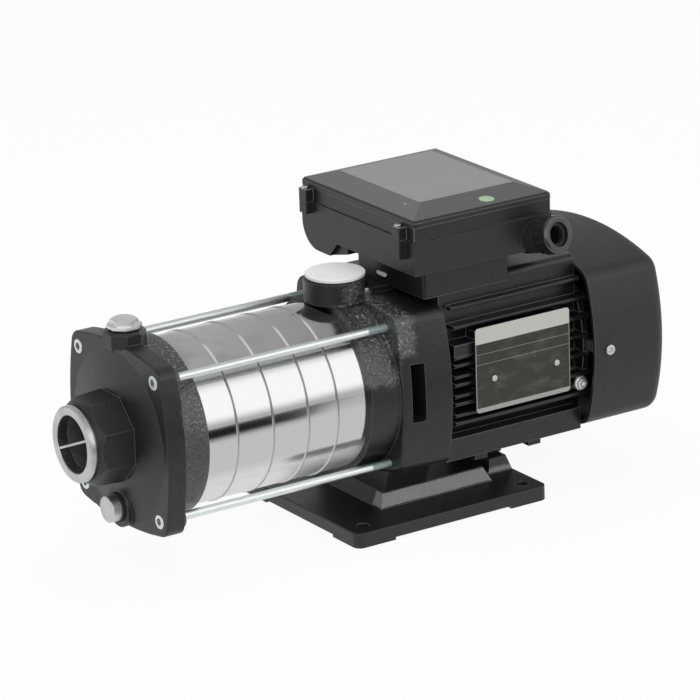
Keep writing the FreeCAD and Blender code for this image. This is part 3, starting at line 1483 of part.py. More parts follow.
def rotor_core():
    return ring_x(
        CORE_FRONT_X, CORE_FRONT_X + CORE_LENGTH, ROTOR_RADIUS, CORE_SEAT_RADIUS + SHAFT_FIT
    )


def cover_arm_places():
    """Direction, reach inside the cover and sideways offset of the four arms"""
    inside = shrunk(COVER_OUTLINE, COVER_WALL)
    middle = (COVER_OUTLINE.upper_z + COVER_OUTLINE.lower_z) / 2
    return [
        (0, inside.side, middle), (90, inside.top, 0),
        (180, inside.side, -middle), (270, -inside.bottom, 0),
    ]


def about_shaft(shape, angle):
    copy = shape.copy()
    copy.rotate(vec(0, 0, SHAFT_HEIGHT), vec(1, 0, 0), angle)
    return copy


def cover_screw_x():
    return COVER_FRONT_X + COVER_SCREW_SETBACK


def rear_end_shield():
    """Bearing shield of the motor, with four arms for the fan cover"""
    flange_end = FRAME_REAR_X + SHIELD_THICKNESS
    bearing_x = rear_bearing_x()
    pocket_end = bearing_x + BEARING_WIDTH + PRELOAD_LENGTH
    spigot_x = FRAME_REAR_X - SHIELD_SPIGOT_LENGTH
    body = turned([
        (bearing_x, BEARING_OUTER_RADIUS + SEAT_GAP),
        (bearing_x, SHIELD_HUB_RADIUS),
        (spigot_x, SHIELD_HUB_RADIUS + SHIELD_THICKNESS),
        (spigot_x, STATOR_BORE - SEAT_GAP),
        (FRAME_REAR_X, STATOR_BORE - SEAT_GAP),
        (FRAME_REAR_X, SHIELD_FLANGE_RADIUS),
        (flange_end, SHIELD_FLANGE_RADIUS),
        (flange_end, SHIELD_BORE_RADIUS),
        (pocket_end, SHIELD_BORE_RADIUS),
        (pocket_end, BEARING_OUTER_RADIUS + SEAT_GAP),
    ])
    arms = [cover_arm(*place) for place in cover_arm_places()]
    return joined(body, *arms)


def cover_arm(angle, reach, offset):
    """Arm that starts at the flange and ends under the cover's wall, with a tapped hole"""
    half = COVER_ARM_WIDTH / 2
    outer = -reach + COVER_ARM_GAP
    inner = outer + COVER_ARM_THICKNESS
    low = up(offset - half)
    high = up(offset + half)
    foot_end = FRAME_REAR_X + SHIELD_THICKNESS
    foot = block(FRAME_REAR_X, foot_end, outer, -COVER_ARM_ROOT, low, high)
    pad = block(FRAME_REAR_X, cover_screw_x(), outer, inner, low, high)
    tip = along_y(outer, inner, half, cover_screw_x(), up(offset))
    hole = along_y(outer, inner, COVER_SCREW_RADIUS + THREAD_FIT, cover_screw_x(), up(offset))
    return about_shaft(joined(foot, pad, tip).cut(hole), -angle)


def fan_front():
    return COVER_FRONT_X + FAN_SETBACK


def fan():
    """Radial fan with straight blades on a disc"""
    front = fan_front()
    rear = front + FAN_LENGTH
    hub = along_x(front, rear, FAN_HUB_RADIUS)
    disc = along_x(front, front + FAN_DISC_THICKNESS, FAN_RADIUS)
    blade = block(
        front + FAN_DISC_THICKNESS / 2, rear, -FAN_BLADE_THICKNESS / 2, FAN_BLADE_THICKNESS / 2,
        up(FAN_BLADE_INNER), up(FAN_BLADE_OUTER),
    )
    rib = block(
        front + FAN_DISC_THICKNESS / 2, front + FAN_LENGTH / 2,
        -FAN_BLADE_THICKNESS / 2, FAN_BLADE_THICKNESS / 2,
        up(FAN_HUB_RADIUS) - FAN_BLADE_THICKNESS, up(FAN_BLADE_INNER) + FAN_BLADE_THICKNESS,
    )
    blades = turned_copies(blade.fuse(rib), FAN_BLADES)
    body = joined(hub, disc, *blades)
    return body.cut(along_x(front, rear, FAN_SEAT_RADIUS + SHAFT_FIT))


def cover_blank(outline, x_start, x_end, corner, blend):
    body = bulged_body(x_start, outline, x_end, outline, corner)
    return body.makeFillet(blend, edges_at(body, 0, x_end))


def fan_cover():
    """Deep drawn cover with a ringed air grille in its rear wall"""
    outer = cover_blank(COVER_OUTLINE, COVER_FRONT_X, COVER_REAR_X, COVER_CORNER, COVER_REAR_BLEND)
    inner = cover_blank(
        shrunk(COVER_OUTLINE, COVER_WALL), COVER_FRONT_X - COVER_WALL, COVER_REAR_X - COVER_WALL,
        COVER_CORNER - COVER_WALL, COVER_REAR_BLEND - COVER_WALL,
    )
    holes = [cover_screw_hole(*place) for place in cover_arm_places()]
    return outer.cut([inner, grille_slots()] + holes)


def cover_screw_hole(angle, reach, offset):
    radius = COVER_SCREW_RADIUS + SCREW_FIT
    start = -reach - 2 * COVER_WALL
    hole = along_y(start, -reach + COVER_WALL, radius, cover_screw_x(), up(offset))
    return about_shaft(hole, -angle)


def grille_slots():
    """Ring slots through the rear wall, broken by spokes"""
    x_start = COVER_REAR_X - 2 * COVER_WALL
    x_end = COVER_REAR_X + COVER_WALL
    radii = [GRILLE_FIRST_RADIUS + i * GRILLE_PITCH for i in range(GRILLE_RINGS)]
    rings = [ring_x(x_start, x_end, radius + GRILLE_SLOT, radius) for radius in radii]
    reach = radii[-1] + GRILLE_PITCH
    spoke = block(
        x_start, x_end, -GRILLE_SPOKE_WIDTH / 2, GRILLE_SPOKE_WIDTH / 2, up(-reach), up(reach)
    )
    spokes = [about_shaft(spoke, i * 180.0 / GRILLE_SPOKES) for i in range(GRILLE_SPOKES)]
    return Part.makeCompound([ring.cut(spokes) for ring in rings])


def near_socket(face_y, width, depth, x, offset):
    """Hexagon socket sunk along +Y into the head of a screw"""
    corner = width / 2 / math.cos(math.pi / 6)
    angles = [math.pi * i / 3 for i in range(6)]
    points = [vec(x + corner * math.cos(a), face_y, up(offset) + corner * math.sin(a)) for a in angles]
    return Part.Face(Part.makePolygon(points + points[:1])).extrude(vec(0, depth, 0))


def fan_cover_screws():
    screws = []
    x = cover_screw_x()
    for angle, reach, offset in cover_arm_places():
        seat = -reach - COVER_WALL
        top = seat - COVER_SCREW_HEAD_HEIGHT
        head = along_y(top, seat, COVER_SCREW_HEAD_RADIUS, x, up(offset))
        head = head.makeFillet(SCREW_EDGE, edges_at(head, 1, top))
        head = head.cut(near_socket(top, COVER_SCREW_SOCKET, COVER_SCREW_SOCKET_DEPTH, x, offset))
        shank = along_y(seat, seat + COVER_SCREW_LENGTH, COVER_SCREW_RADIUS, x, up(offset))
        screws.append(about_shaft(joined(head, shank), -angle))
    return Part.makeCompound(screws)


# Terminal box

def box_section(inset):
    """Outline of the box across the shaft, with the deeper belly on its far side"""
    near = BOX_NEAR_Y + inset
    far = BOX_FAR_Y - inset
    bottom = up(BOX_BOTTOM) + inset
    belly = up(BELLY_BOTTOM) + inset
    radius = BELLY_RADIUS - inset
    top = up(BOX_SEAM)
    step_start = BELLY_NEAR_Y - BELLY_STEP + inset
    step_end = BELLY_NEAR_Y + inset
    diagonal = radius * math.sqrt(0.5)
    centre_y = far - radius
    centre_z = belly + radius
    outline = [
        Part.makeLine(vec(0, near, top), vec(0, near, bottom)),
        Part.makeLine(vec(0, near, bottom), vec(0, step_start, bottom)),
        Part.makeLine(vec(0, step_start, bottom), vec(0, step_end, belly)),
        Part.makeLine(vec(0, step_end, belly), vec(0, centre_y, belly)),
        Part.Arc(
            vec(0, centre_y, belly),
            vec(0, centre_y + diagonal, centre_z - diagonal),
            vec(0, far, centre_z),
        ).toShape(),
        Part.makeLine(vec(0, far, centre_z), vec(0, far, top)),
        Part.makeLine(vec(0, far, top), vec(0, near, top)),
    ]
    return Part.Face(Part.Wire(outline))


def belly_gusset():
    """Wedge that carries the belly's underside towards the shaft, behind the box's front wall"""
    points = [
        vec(0, GUSSET_NEAR_Y, up(BOX_BOTTOM)), vec(0, GUSSET_NEAR_Y, up(BOX_BOTTOM) - GUSSET_DROP),
        vec(0, BELLY_NEAR_Y, up(BELLY_BOTTOM)), vec(0, BELLY_NEAR_Y, up(BOX_BOTTOM)),
    ]
    face = Part.Face(Part.makePolygon(points + points[:1]))
    face.translate(vec(BOX_FRONT_X + GUSSET_SETBACK, 0, 0))
    return face.extrude(vec(BOX_LENGTH - 2 * GUSSET_SETBACK, 0, 0))


def box_body(inset):
    face = box_section(inset)
    face.translate(vec(BOX_FRONT_X + inset, 0, 0))
    return face.extrude(vec(BOX_LENGTH - 2 * inset, 0, 0))


def ear_rows():
    """Place across the shaft and lower end of the two rows of screw ears"""
    return [(NEAR_EAR_Y, NEAR_EAR_BOTTOM), (FAR_EAR_Y, FAR_EAR_BOTTOM)]


def ear(y, z_start, z_end, side):
    """Screw ear on the front wall (side -1) or the rear wall (side 1) of the box"""
    half = EAR_WIDTH / 2
    wall = BOX_FRONT_X if side < 0 else BOX_FRONT_X + BOX_LENGTH
    xs = sorted((wall + side * EAR_PROUD, wall - side * BOX_WALL))
    return rounded_block(xs[0], xs[1], y - half, y + half, z_start, z_end, EAR_CORNER)


def ear_centres():
    half = EAR_PROUD / 2
    rear_wall = BOX_FRONT_X + BOX_LENGTH
    return [(x, y) for x in (BOX_FRONT_X - half, rear_wall + half) for y, _ in ear_rows()]


def tilted(shape):
    """Turn a shape built square to the near wall into the direction of the gland"""
    pivot = vec(GLAND_X, BOX_NEAR_Y, up(GLAND_Z))
    shape.rotate(pivot, vec(1, 0, 0), -GLAND_TILT_UP)
    shape.rotate(pivot, vec(0, 0, 1), GLAND_TILT_BACK)
    return shape


def gland_turret(clearance=0.0):
    start = BOX_NEAR_Y + GLAND_TURRET_ROOT
    turret = along_y(
        start, gland_seat_y(), GLAND_TURRET_RADIUS + clearance, GLAND_X, up(GLAND_Z)
    )
    return tilted(turret)


def terminal_box():
    lower = [ear(y, up(bottom), up(BOX_SEAM), side) for y, bottom in ear_rows() for side in (-1, 1)]
    body = joined(box_body(0), belly_gusset(), gland_turret(), *lower)
    bore = along_y(
        gland_seat_y(), BOX_NEAR_Y + GLAND_TURRET_ROOT, GLAND_THREAD_RADIUS + THREAD_FIT,
        GLAND_X, up(GLAND_Z),
    )
    cuts = [
        box_body(BOX_WALL),
        tilted(bore),
        along_z(up(BELLY_BOTTOM), up(BOX_SEAM), PEDESTAL_BORE, pedestal_bore_x()),
    ]
    for x, y in ear_centres():
        cuts.append(along_z(
            up(BOX_SEAM) - LID_SCREW_DEPTH, up(BOX_SEAM), LID_SCREW_RADIUS + THREAD_FIT, x, y
        ))
    return body.cut(cuts)


def box_gasket():
    """Flat gasket between the frame's seat and the box"""
    x = pedestal_bore_x()
    top = up(BOX_BOTTOM)
    sheet = rounded_block(
        x - GASKET_REACH, x + GASKET_REACH, -GASKET_REACH, GASKET_REACH,
        top - GASKET_THICKNESS, top, SHOULDER_CORNER,
    )
    return sheet.cut(along_z(top - GASKET_THICKNESS, top, PEDESTAL_BORE, x))


def lid_block(inset, z_start, z_end):
    return block(
        BOX_FRONT_X + inset, BOX_FRONT_X + BOX_LENGTH - inset,
        BOX_NEAR_Y + inset, BOX_FAR_Y - inset, z_start, z_end,
    )


def lid_panel():
    """Shallow frustum that rises from the lid's edge to its flat panel"""

    def level(front, rear, near, far, z):
        xs = BOX_FRONT_X + front, BOX_FRONT_X + BOX_LENGTH - rear
        ys = BOX_NEAR_Y + near, BOX_FAR_Y - far
        points = [vec(xs[0], ys[0], z), vec(xs[1], ys[0], z), vec(xs[1], ys[1], z), vec(xs[0], ys[1], z)]
        return Part.makePolygon(points + points[:1])

    wires = [
        level(LID_BEVEL, LID_BEVEL, LID_BEVEL, LID_BEVEL, up(LID_EDGE_TOP)),
        level(
            LID_FRAME_FRONT, LID_FRAME_REAR, LID_FRAME_NEAR, LID_FRAME_FAR, up(LID_PANEL_TOP)
        ),
    ]
    return Part.makeLoft(wires, True, True)


def terminal_lid():
    """Deep lid with a sloping frame round a flat panel"""
    seam = up(BOX_SEAM) + LID_GASKET_HEIGHT
    lip_bottom = up(LID_LIP_BOTTOM)
    skirt = lid_block(SKIRT_INSET, seam, lip_bottom)
    cap = lid_block(0, lip_bottom, up(LID_EDGE_TOP))
    cap = cap.makeFillet(BOX_CORNER, edges_along(cap, 2))
    cap = cap.makeChamfer(LID_BEVEL, edges_at(cap, 2, up(LID_EDGE_TOP)))
    upper = [ear(y, seam, up(EAR_TOP), side) for y, _ in ear_rows() for side in (-1, 1)]
    body = joined(skirt, cap, lid_panel(), *upper)
    cuts = [
        lid_block(SKIRT_INSET + BOX_WALL, seam, lip_bottom),
        gland_turret(RUNNING_GAP),
    ]
    for x, y in ear_centres():
        cuts.append(along_z(seam, up(EAR_TOP), LID_SCREW_RADIUS + SCREW_FIT, x, y))
    return body.cut(cuts)


def lid_gasket():
    bottom = up(BOX_SEAM)
    top = bottom + LID_GASKET_HEIGHT
    ring = lid_block(SKIRT_INSET + LID_GASKET_INSET, bottom, top)
    return ring.cut([lid_block(BOX_WALL, bottom, top), gland_turret(RUNNING_GAP)])


def lid_screws():
    screws = []
    for x, y in ear_centres():
        top = up(EAR_TOP)
        head = along_z(top, top + LID_SCREW_HEAD_HEIGHT, LID_SCREW_HEAD_RADIUS, x, y)
        head = head.makeFillet(SCREW_EDGE, edges_at(head, 2, top + LID_SCREW_HEAD_HEIGHT))
        bottom = up(BOX_SEAM) - LID_SCREW_DEPTH + SCREW_TIP_GAP
        screws.append(joined(head, along_z(bottom, top, LID_SCREW_RADIUS, x, y)))
    return Part.makeCompound(screws)


def terminal_block():
    length, width, height = TERMINAL_BLOCK_SIZE
    floor = up(BOX_BOTTOM) + BOX_WALL
    y = TERMINAL_BLOCK_Y
    body = block(
        TERMINAL_BLOCK_X, TERMINAL_BLOCK_X + length, y - width / 2, y + width / 2, floor, floor + height
    )
    pitch = length / TERMINALS
    wells = [
        along_z(
            floor + height - TERMINAL_DEPTH, floor + height, TERMINAL_RADIUS,
            TERMINAL_BLOCK_X + (i + 0.5) * pitch, y,
        )
        for i in range(TERMINALS)
    ]
    return body.cut(wells)


def capacitor():
    """Run capacitor lying in the belly of the box"""
    z = up(BELLY_BOTTOM) + BOX_WALL + CAPACITOR_RADIUS + SEAT_GAP
    start = CAPACITOR_FRONT_X
    can = along_x(start, start + CAPACITOR_LENGTH, CAPACITOR_RADIUS, CAPACITOR_Y, z)
    ends = edges_at(can, 0, start) + edges_at(can, 0, start + CAPACITOR_LENGTH)
    return can.makeFillet(CAPACITOR_EDGE, ends)


# Cable gland

def gland_seat_y():
    return BOX_NEAR_Y - GLAND_TURRET_REACH


def gland_nut_back_y():
    return gland_seat_y() - GLAND_FLANGE_THICKNESS - RUNNING_GAP


def gland_thread_end_y():
    return gland_nut_back_y() - GLAND_THREAD_STICKOUT


def gland_body():
    seat = gland_seat_y()
    z = up(GLAND_Z)
    flange = along_y(seat, seat - GLAND_FLANGE_THICKNESS, GLAND_FLANGE_RADIUS, GLAND_X, z)
    inner_end = BOX_NEAR_Y + BOX_WALL
    tube = along_y(inner_end, gland_thread_end_y(), GLAND_THREAD_RADIUS, GLAND_X, z)
    bore = along_y(inner_end, gland_thread_end_y(), GLAND_BORE_RADIUS, GLAND_X, z)
    return tilted(joined(flange, tube).cut(bore))


def gland_nut():
    """Lobed compression nut with a rounded nose"""
    back = gland_nut_back_y()
    front = back - GLAND_NUT_LENGTH
    z = up(GLAND_Z)
    inner = GLAND_THREAD_RADIUS + RUNNING_GAP
    body = along_y(back, front, GLAND_NUT_RADIUS, GLAND_X, z)
    body = body.makeFillet(GLAND_NOSE_BLEND, edges_at(body, 1, front))
    cuts = [
        along_y(back, front + GLAND_LIP, inner, GLAND_X, z),
        along_y(back, front, GLAND_MOUTH_RADIUS, GLAND_X, z),
    ]
    reach = GLAND_NUT_RADIUS + GLAND_LOBE_RADIUS - GLAND_LOBE_DEPTH
    for i in range(GLAND_LOBES):
        angle = 2 * math.pi * (i + 0.5) / GLAND_LOBES
        x = GLAND_X + reach * math.cos(angle)
        lobe_z = z + reach * math.sin(angle)
        cuts.append(along_y(back, front + 2 * GLAND_NOSE_BLEND, GLAND_LOBE_RADIUS, x, lobe_z))
    return tilted(body.cut(cuts))


def gland_seal():
    """Rubber ring that grips the cable"""
    start = gland_thread_end_y()
    end = start - GLAND_SEAL_LENGTH
    z = up(GLAND_Z)
    outer = along_y(start, end, GLAND_THREAD_RADIUS, GLAND_X, z)
    return tilted(outer.cut(along_y(start, end, GLAND_SEAL_BORE, GLAND_X, z)))


# Nameplate and earth screw

def nameplate():
    """Bare plate riveted to its pad"""
    front = nameplate_front_y()
    plate = rounded_block(
        NAMEPLATE_X, NAMEPLATE_X + NAMEPLATE_LENGTH, front - NAMEPLATE_THICKNESS, front,
        up(NAMEPLATE_LOW), up(NAMEPLATE_HIGH), NAMEPLATE_CORNER, 1,
    )
    holes = [
        along_y(front - NAMEPLATE_THICKNESS, front, RIVET_RADIUS + SEAT_GAP, x, up(RIVET_Z))
        for x in RIVET_XS
    ]
    return plate.cut(holes)


def nameplate_rivets():
    front = nameplate_front_y() - NAMEPLATE_THICKNESS
    rivets = []
    for x in RIVET_XS:
        head = along_y(front - RIVET_PROUD, front, RIVET_HEAD_RADIUS, x, up(RIVET_Z))
        head = head.makeFillet(SCREW_EDGE, edges_at(head, 1, front - RIVET_PROUD))
        end = nameplate_front_y() + RIVET_LENGTH
        shank = along_y(front, end, RIVET_RADIUS, x, up(RIVET_Z))
        rivets.append(joined(head, shank))
    return Part.makeCompound(rivets)


def earth_screw():
    z = up(EARTH_SCREW_Z)
    washer_front = -FIN_TIP - EARTH_WASHER_THICKNESS
    head_front = washer_front - EARTH_HEAD_HEIGHT
    washer = along_y(-FIN_TIP, washer_front, EARTH_WASHER_RADIUS, EARTH_SCREW_X, z)
    head = along_y(washer_front, head_front, EARTH_HEAD_RADIUS, EARTH_SCREW_X, z)
    head = head.makeFillet(SCREW_EDGE, edges_at(head, 1, head_front))
    head = head.cut(
        near_socket(head_front, EARTH_SOCKET, EARTH_SOCKET_DEPTH, EARTH_SCREW_X, EARTH_SCREW_Z)
    )
    end = -FIN_TIP + EARTH_SHANK_LENGTH
    shank = along_y(-FIN_TIP, end, EARTH_SHANK_RADIUS, EARTH_SCREW_X, z)
    return joined(washer, head, shank)


# All nodes

def nodes():
    made = {
        "base_plate": base_plate(),
        "foot_bolts": foot_bolts(),
        "suction_casing": suction_casing(),
        "suction_port_ring": suction_port_ring(),
        "drain_plug": drain_plug(),
        "drain_plug_gasket": drain_plug_gasket(),
        "priming_plug": priming_plug(),
        "priming_plug_gasket": priming_plug_gasket(),
        "outer_sleeve": outer_sleeve(),
        "sleeve_seals": sleeve_seals(),
        "impeller_spacers": impeller_spacers(),
        "impeller_nut": impeller_nut(),
        "shaft": shaft(),
        "seal_bellows": seal_bellows(),
        "seal_face": seal_face(),
        "seal_seat": seal_seat(),
        "slinger": slinger(),
        "discharge_bracket": discharge_bracket(),
        "platform_screw": platform_screw(),
        "discharge_cap": discharge_cap(),
        "tie_rods": tie_rods(),
        "front_bearing_outer": bearing_outer(front_bearing_x()),
        "front_bearing_inner": bearing_inner(front_bearing_x()),
        "rear_bearing_outer": bearing_outer(rear_bearing_x()),
        "rear_bearing_inner": bearing_inner(rear_bearing_x()),
        "preload_spring": preload_spring(),
        "motor_frame": motor_frame(),
        "seat_plug": seat_plug(),
        "stator_core": stator_core(),
        "stator_winding": stator_winding(),
        "rotor_core": rotor_core(),
        "rear_end_shield": rear_end_shield(),
        "fan": fan(),
        "fan_cover": fan_cover(),
        "fan_cover_screws": fan_cover_screws(),
        "terminal_box": terminal_box(),
        "box_gasket": box_gasket(),
        "terminal_lid": terminal_lid(),
        "lid_gasket": lid_gasket(),
        "lid_screws": lid_screws(),
        "terminal_block": terminal_block(),
        "capacitor": capacitor(),
        "gland_body": gland_body(),
        "gland_nut": gland_nut(),
        "gland_seal": gland_seal(),
        "nameplate": nameplate(),
        "nameplate_rivets": nameplate_rivets(),
        "earth_screw": earth_screw(),
    }
    for i in range(STAGES):
        made["stage_chamber_%d" % (i + 1)] = stage_chamber(i)
        made["impeller_%d" % (i + 1)] = impeller(i)
    return made


def main():
    os.makedirs("parts", exist_ok=True)
    for name, shape in nodes().items():
        shape.exportStep("parts/%s.step" % name)
        print(name, len(shape.Solids), round(shape.Volume), shape.isValid())


main()
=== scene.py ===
"""Looks of a horizontal multistage pump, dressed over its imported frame.

Lengths are metres in the frame's own axes: +X along the shaft to the fan end, +Z up, and -Y
towards the near side.
"""

import logging
import math
from dataclasses import dataclass, field
from enum import Enum

import bmesh
import bpy
from mathutils import Matrix, Vector


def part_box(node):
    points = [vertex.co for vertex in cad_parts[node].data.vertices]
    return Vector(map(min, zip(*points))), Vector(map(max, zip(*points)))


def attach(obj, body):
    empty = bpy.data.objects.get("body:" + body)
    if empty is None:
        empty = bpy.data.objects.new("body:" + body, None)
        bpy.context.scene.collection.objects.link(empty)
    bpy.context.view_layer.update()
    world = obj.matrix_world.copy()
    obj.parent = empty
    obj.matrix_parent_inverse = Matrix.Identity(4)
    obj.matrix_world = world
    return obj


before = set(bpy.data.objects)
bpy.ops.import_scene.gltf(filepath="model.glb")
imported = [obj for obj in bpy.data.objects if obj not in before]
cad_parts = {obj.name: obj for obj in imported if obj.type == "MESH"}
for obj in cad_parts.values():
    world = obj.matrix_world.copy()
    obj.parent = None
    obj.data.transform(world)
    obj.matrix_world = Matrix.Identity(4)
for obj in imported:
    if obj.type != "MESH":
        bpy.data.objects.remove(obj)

LOG = logging.getLogger("pump_scene")
MM = 0.001
SHAFT_HEIGHT = 97.0 * MM
WHITE = (1.0, 1.0, 1.0, 1.0)
PLAIN_SHINE = 0.5
SHARP_ANGLE = math.radians(35.0)

# How far the rounded normal leaves the flat one where an edge begins and where it is full
EDGE_BAND = (0.005, 0.12)
EDGE_SAMPLES = 6

# Places of the colour sockets on the mix node, which has sockets for other data too
MIX_SHARE, MIX_FIRST, MIX_SECOND, MIX_RESULT = 0, 6, 7, 2

Colour = tuple[float, float, float]
Point = tuple[float, float, float]
Span = tuple[float, float]
Socket = bpy.types.NodeSocket


class Axis(Enum):
    """Axis of the frame that a grain follows."""

    X = 0
    Y = 1
    Z = 2


def scaled(colour: Colour, factor: float) -> Colour:
    """Colour with each part multiplied by a factor."""
    return tuple(factor * part for part in colour)


# Node graphs


class Graph:
    """Short way to make and join the nodes of one material or world."""

    def __init__(self, tree: bpy.types.NodeTree) -> None:
        """Start from an emptied node tree.

        Args:
            tree: The node tree to fill.
        """
        tree.nodes.clear()
        self.tree = tree

    def add(self, kind: str, **settings: object) -> bpy.types.Node:
        """Add a node and set its properties.

        Args:
            kind: The node's type name.
            settings: Properties to set on the node.

        Returns:
            The new node.
        """
        node = self.tree.nodes.new(kind)
        for name, value in settings.items():
            setattr(node, name, value)
        return node

    def join(self, socket: Socket, value: object) -> None:
        """Link an input to an output, or set it.

        Args:
            socket: The input.
            value: Number, colour or output socket.
        """
        if isinstance(value, Socket):
            self.tree.links.new(value, socket)
        else:
            socket.default_value = value

    def feed(self, node: bpy.types.Node, **values: object) -> bpy.types.Node:
        """Set or link the inputs of a node, named with underscores for spaces.

        Args:
            node: The node whose inputs are set.
            values: Numbers, colours or output sockets by input name.

        Returns:
            The same node.
        """
        for name, value in values.items():
            self.join(node.inputs[name.replace("_", " ")], value)
        return node

    def math(self, operation: str, first: object, second: object = 0.0) -> Socket:
        """Add a math node of two inputs.

        Args:
            operation: The node's operation.
            first: Number or socket.
            second: Number or socket.

        Returns:
            The node's output.
        """
        node = self.add("ShaderNodeMath", operation=operation)
        for socket, value in zip(node.inputs, (first, second)):
            self.join(socket, value)
        return node.outputs[0]

    def plus(self, first: object, second: object) -> Socket:
        """Sum of two values."""
        return self.math("ADD", first, second)

    def minus(self, first: object, second: object) -> Socket:
        """Difference of two values."""
        return self.math("SUBTRACT", first, second)

    def times(self, first: object, second: object) -> Socket:
        """Product of two values."""
        return self.math("MULTIPLY", first, second)

    def most(self, first: object, second: object) -> Socket:
        """Larger of two values."""
        return self.math("MAXIMUM", first, second)

    def away(self, value: Socket, place: float) -> Socket:
        """Distance of a value from a place."""
        return self.math("ABSOLUTE", self.minus(value, place))

    def radius(self, first: Socket, second: Socket, centre: Span) -> Socket:
        """Distance from an axis, measured over two coordinates.

        Args:
            first: One coordinate across the axis.
            second: The other coordinate.
            centre: Where the axis lies in both.

        Returns:
            The distance's output.
        """
        one = self.minus(first, centre[0])
        two = self.minus(second, centre[1])
        return self.math("SQRT", self.plus(self.times(one, one), self.times(two, two)))

    def band(self, value: Socket, low: float, high: float) -> Socket:
        """Rise smoothly from 0 at one value to 1 at another.

        Args:
            value: The socket that is read.
            low: Value where the band is 0.
            high: Value where the band is 1.

        Returns:
            The band's output, from 0 to 1.
        """
        node = self.add("ShaderNodeMapRange", interpolation_type="SMOOTHSTEP")
        self.feed(node, Value=value, From_Min=low, From_Max=high)
        return node.outputs["Result"]

    def outside(self, value: Socket, low: float, high: float) -> Socket:
        """Fall smoothly from 1 at one value to 0 at another.

        Args:
            value: The socket that is read.
            low: Value where the result is 1.
            high: Value where the result is 0.

        Returns:
            The result, from 0 to 1.
        """
        return self.minus(1.0, self.band(value, low, high))

    def within(self, value: Socket, low: float, high: float, soft: float) -> Socket:
        """Mask between two values, which fades out beyond them.

        Args:
            value: The socket that is read.
            low: Value where the mask is whole.
            high: Value where it still is.
            soft: Width of the fade on either side.

        Returns:
            The mask, from 0 to 1.
        """
        rise = self.band(value, low - soft, low)
        return self.times(rise, self.outside(value, high, high + soft))

    def swing(self, middle: float, width: float, share: Socket) -> Socket:
        """Let a value vary about its middle.

        Args:
            middle: The value where the share is a half.
            width: Its whole range.
            share: Socket from 0 to 1.

        Returns:
            The varied value.
        """
        return self.plus(middle - width / 2.0, self.times(share, width))

    def blend(self, share: object, first: object, second: object) -> Socket:
        """Mix two colours.

        Args:
            share: Share of the second colour.
            first: Colour or socket.
            second: Colour or socket.

        Returns:
            The mixed colour.
        """
        node = self.add("ShaderNodeMix", data_type="RGBA")
        self.join(node.inputs[MIX_SHARE], share)
        for index, value in ((MIX_FIRST, first), (MIX_SECOND, second)):
            whole = value if isinstance(value, Socket) else (*value, 1.0)
            self.join(node.inputs[index], whole)
        return node.outputs[MIX_RESULT]

    def place(self, squeeze: float = 1.0, axis: Axis = Axis.X) -> Socket:
        """Object coordinates in metres.

        Args:
            squeeze: Factor on one of them.
            axis: The axis of that one.

        Returns:
            The vector's output.
        """
        source = self.add("ShaderNodeTexCoord").outputs["Object"]
        if squeeze == 1.0:
            return source
        scale = [1.0, 1.0, 1.0]
        scale[axis.value] = squeeze
        mapping = self.feed(self.add("ShaderNodeMapping"), Vector=source, Scale=scale)
        return mapping.outputs["Vector"]

    def split(self, vector: Socket) -> tuple[Socket, Socket, Socket]:
        """Three parts of a vector."""
        return tuple(self.feed(self.add("ShaderNodeSeparateXYZ"), Vector=vector).outputs)

    def parts(self) -> tuple[Socket, Socket, Socket]:
        """Object coordinates as three numbers."""
        return self.split(self.place())

    def noise(
        self, size: float, detail: float = 3.0, rough: float = 0.55,
        squeeze: float = 1.0, axis: Axis = Axis.X,
    ) -> Socket:
        """Noise of one grain size.

        Args:
            size: Size of the largest grains in metres.
            detail: Number of finer layers.
            rough: Strength of the finer layers.
            squeeze: Factor on one coordinate, below 1 to lengthen the grains.
            axis: The axis of that coordinate.

        Returns:
            The noise from 0 to 1.
        """
        node = self.add("ShaderNodeTexNoise")
        place = self.place(squeeze, axis)
        self.feed(node, Vector=place, Scale=1.0 / size, Detail=detail, Roughness=rough)
        return node.outputs[0]

    def bump(self, height: Socket, depth: float, after: Socket | None = None) -> Socket:
        """Bump the surface by a height from 0 to 1.

        Args:
            height: The height's socket.
            depth: Depth of the whole height in metres.
            after: Normal to start from.

        Returns:
            The bumped normal.
        """
        node = self.feed(self.add("ShaderNodeBump"), Height=height, Distance=depth, Strength=1.0)
        if after is not None:
            self.feed(node, Normal=after)
        return node.outputs["Normal"]

    def facing(self) -> Socket:
        """Normal of the bare surface."""
        return self.add("ShaderNodeNewGeometry").outputs["Normal"]

    def bevelled_edge(self, reach: float) -> tuple[Socket, Socket]:
        """Find the sharp edges of a surface.

        Args:
            reach: Reach of an edge in metres.

        Returns:
            The rounded normal, and a mask that is 1 at an edge.
        """
        bevel = self.feed(self.add("ShaderNodeBevel", samples=EDGE_SAMPLES), Radius=reach)
        rounded = bevel.outputs[0]
        product = self.add("ShaderNodeVectorMath", operation="DOT_PRODUCT")
        self.join(product.inputs[0], rounded)
        self.join(product.inputs[1], self.facing())
        return rounded, self.band(self.minus(1.0, product.outputs["Value"]), *EDGE_BAND)

    def either(
        self, share: Socket, first: bpy.types.Node, second: bpy.types.Node
    ) -> bpy.types.Node:
        """Mix two shaders.

        Args:
            share: Share of the second shader.
            first: First shader.
            second: Second shader.

        Returns:
            The mix's node.
        """
        node = self.feed(self.add("ShaderNodeMixShader"), Fac=share)
        self.join(node.inputs[1], first.outputs[0])
        self.join(node.inputs[2], second.outputs[0])
        return node

    def rays(self) -> tuple[Socket, Socket]:
        """Find how a surface is being looked at.

        Returns:
            A mask of rays from the camera or through glass, and one of mirrored rays.
        """
        path = self.add("ShaderNodeLightPath")
        seen = self.most(path.outputs["Is Camera Ray"], path.outputs["Is Transmission Ray"])
        return seen, path.outputs["Is Glossy Ray"]

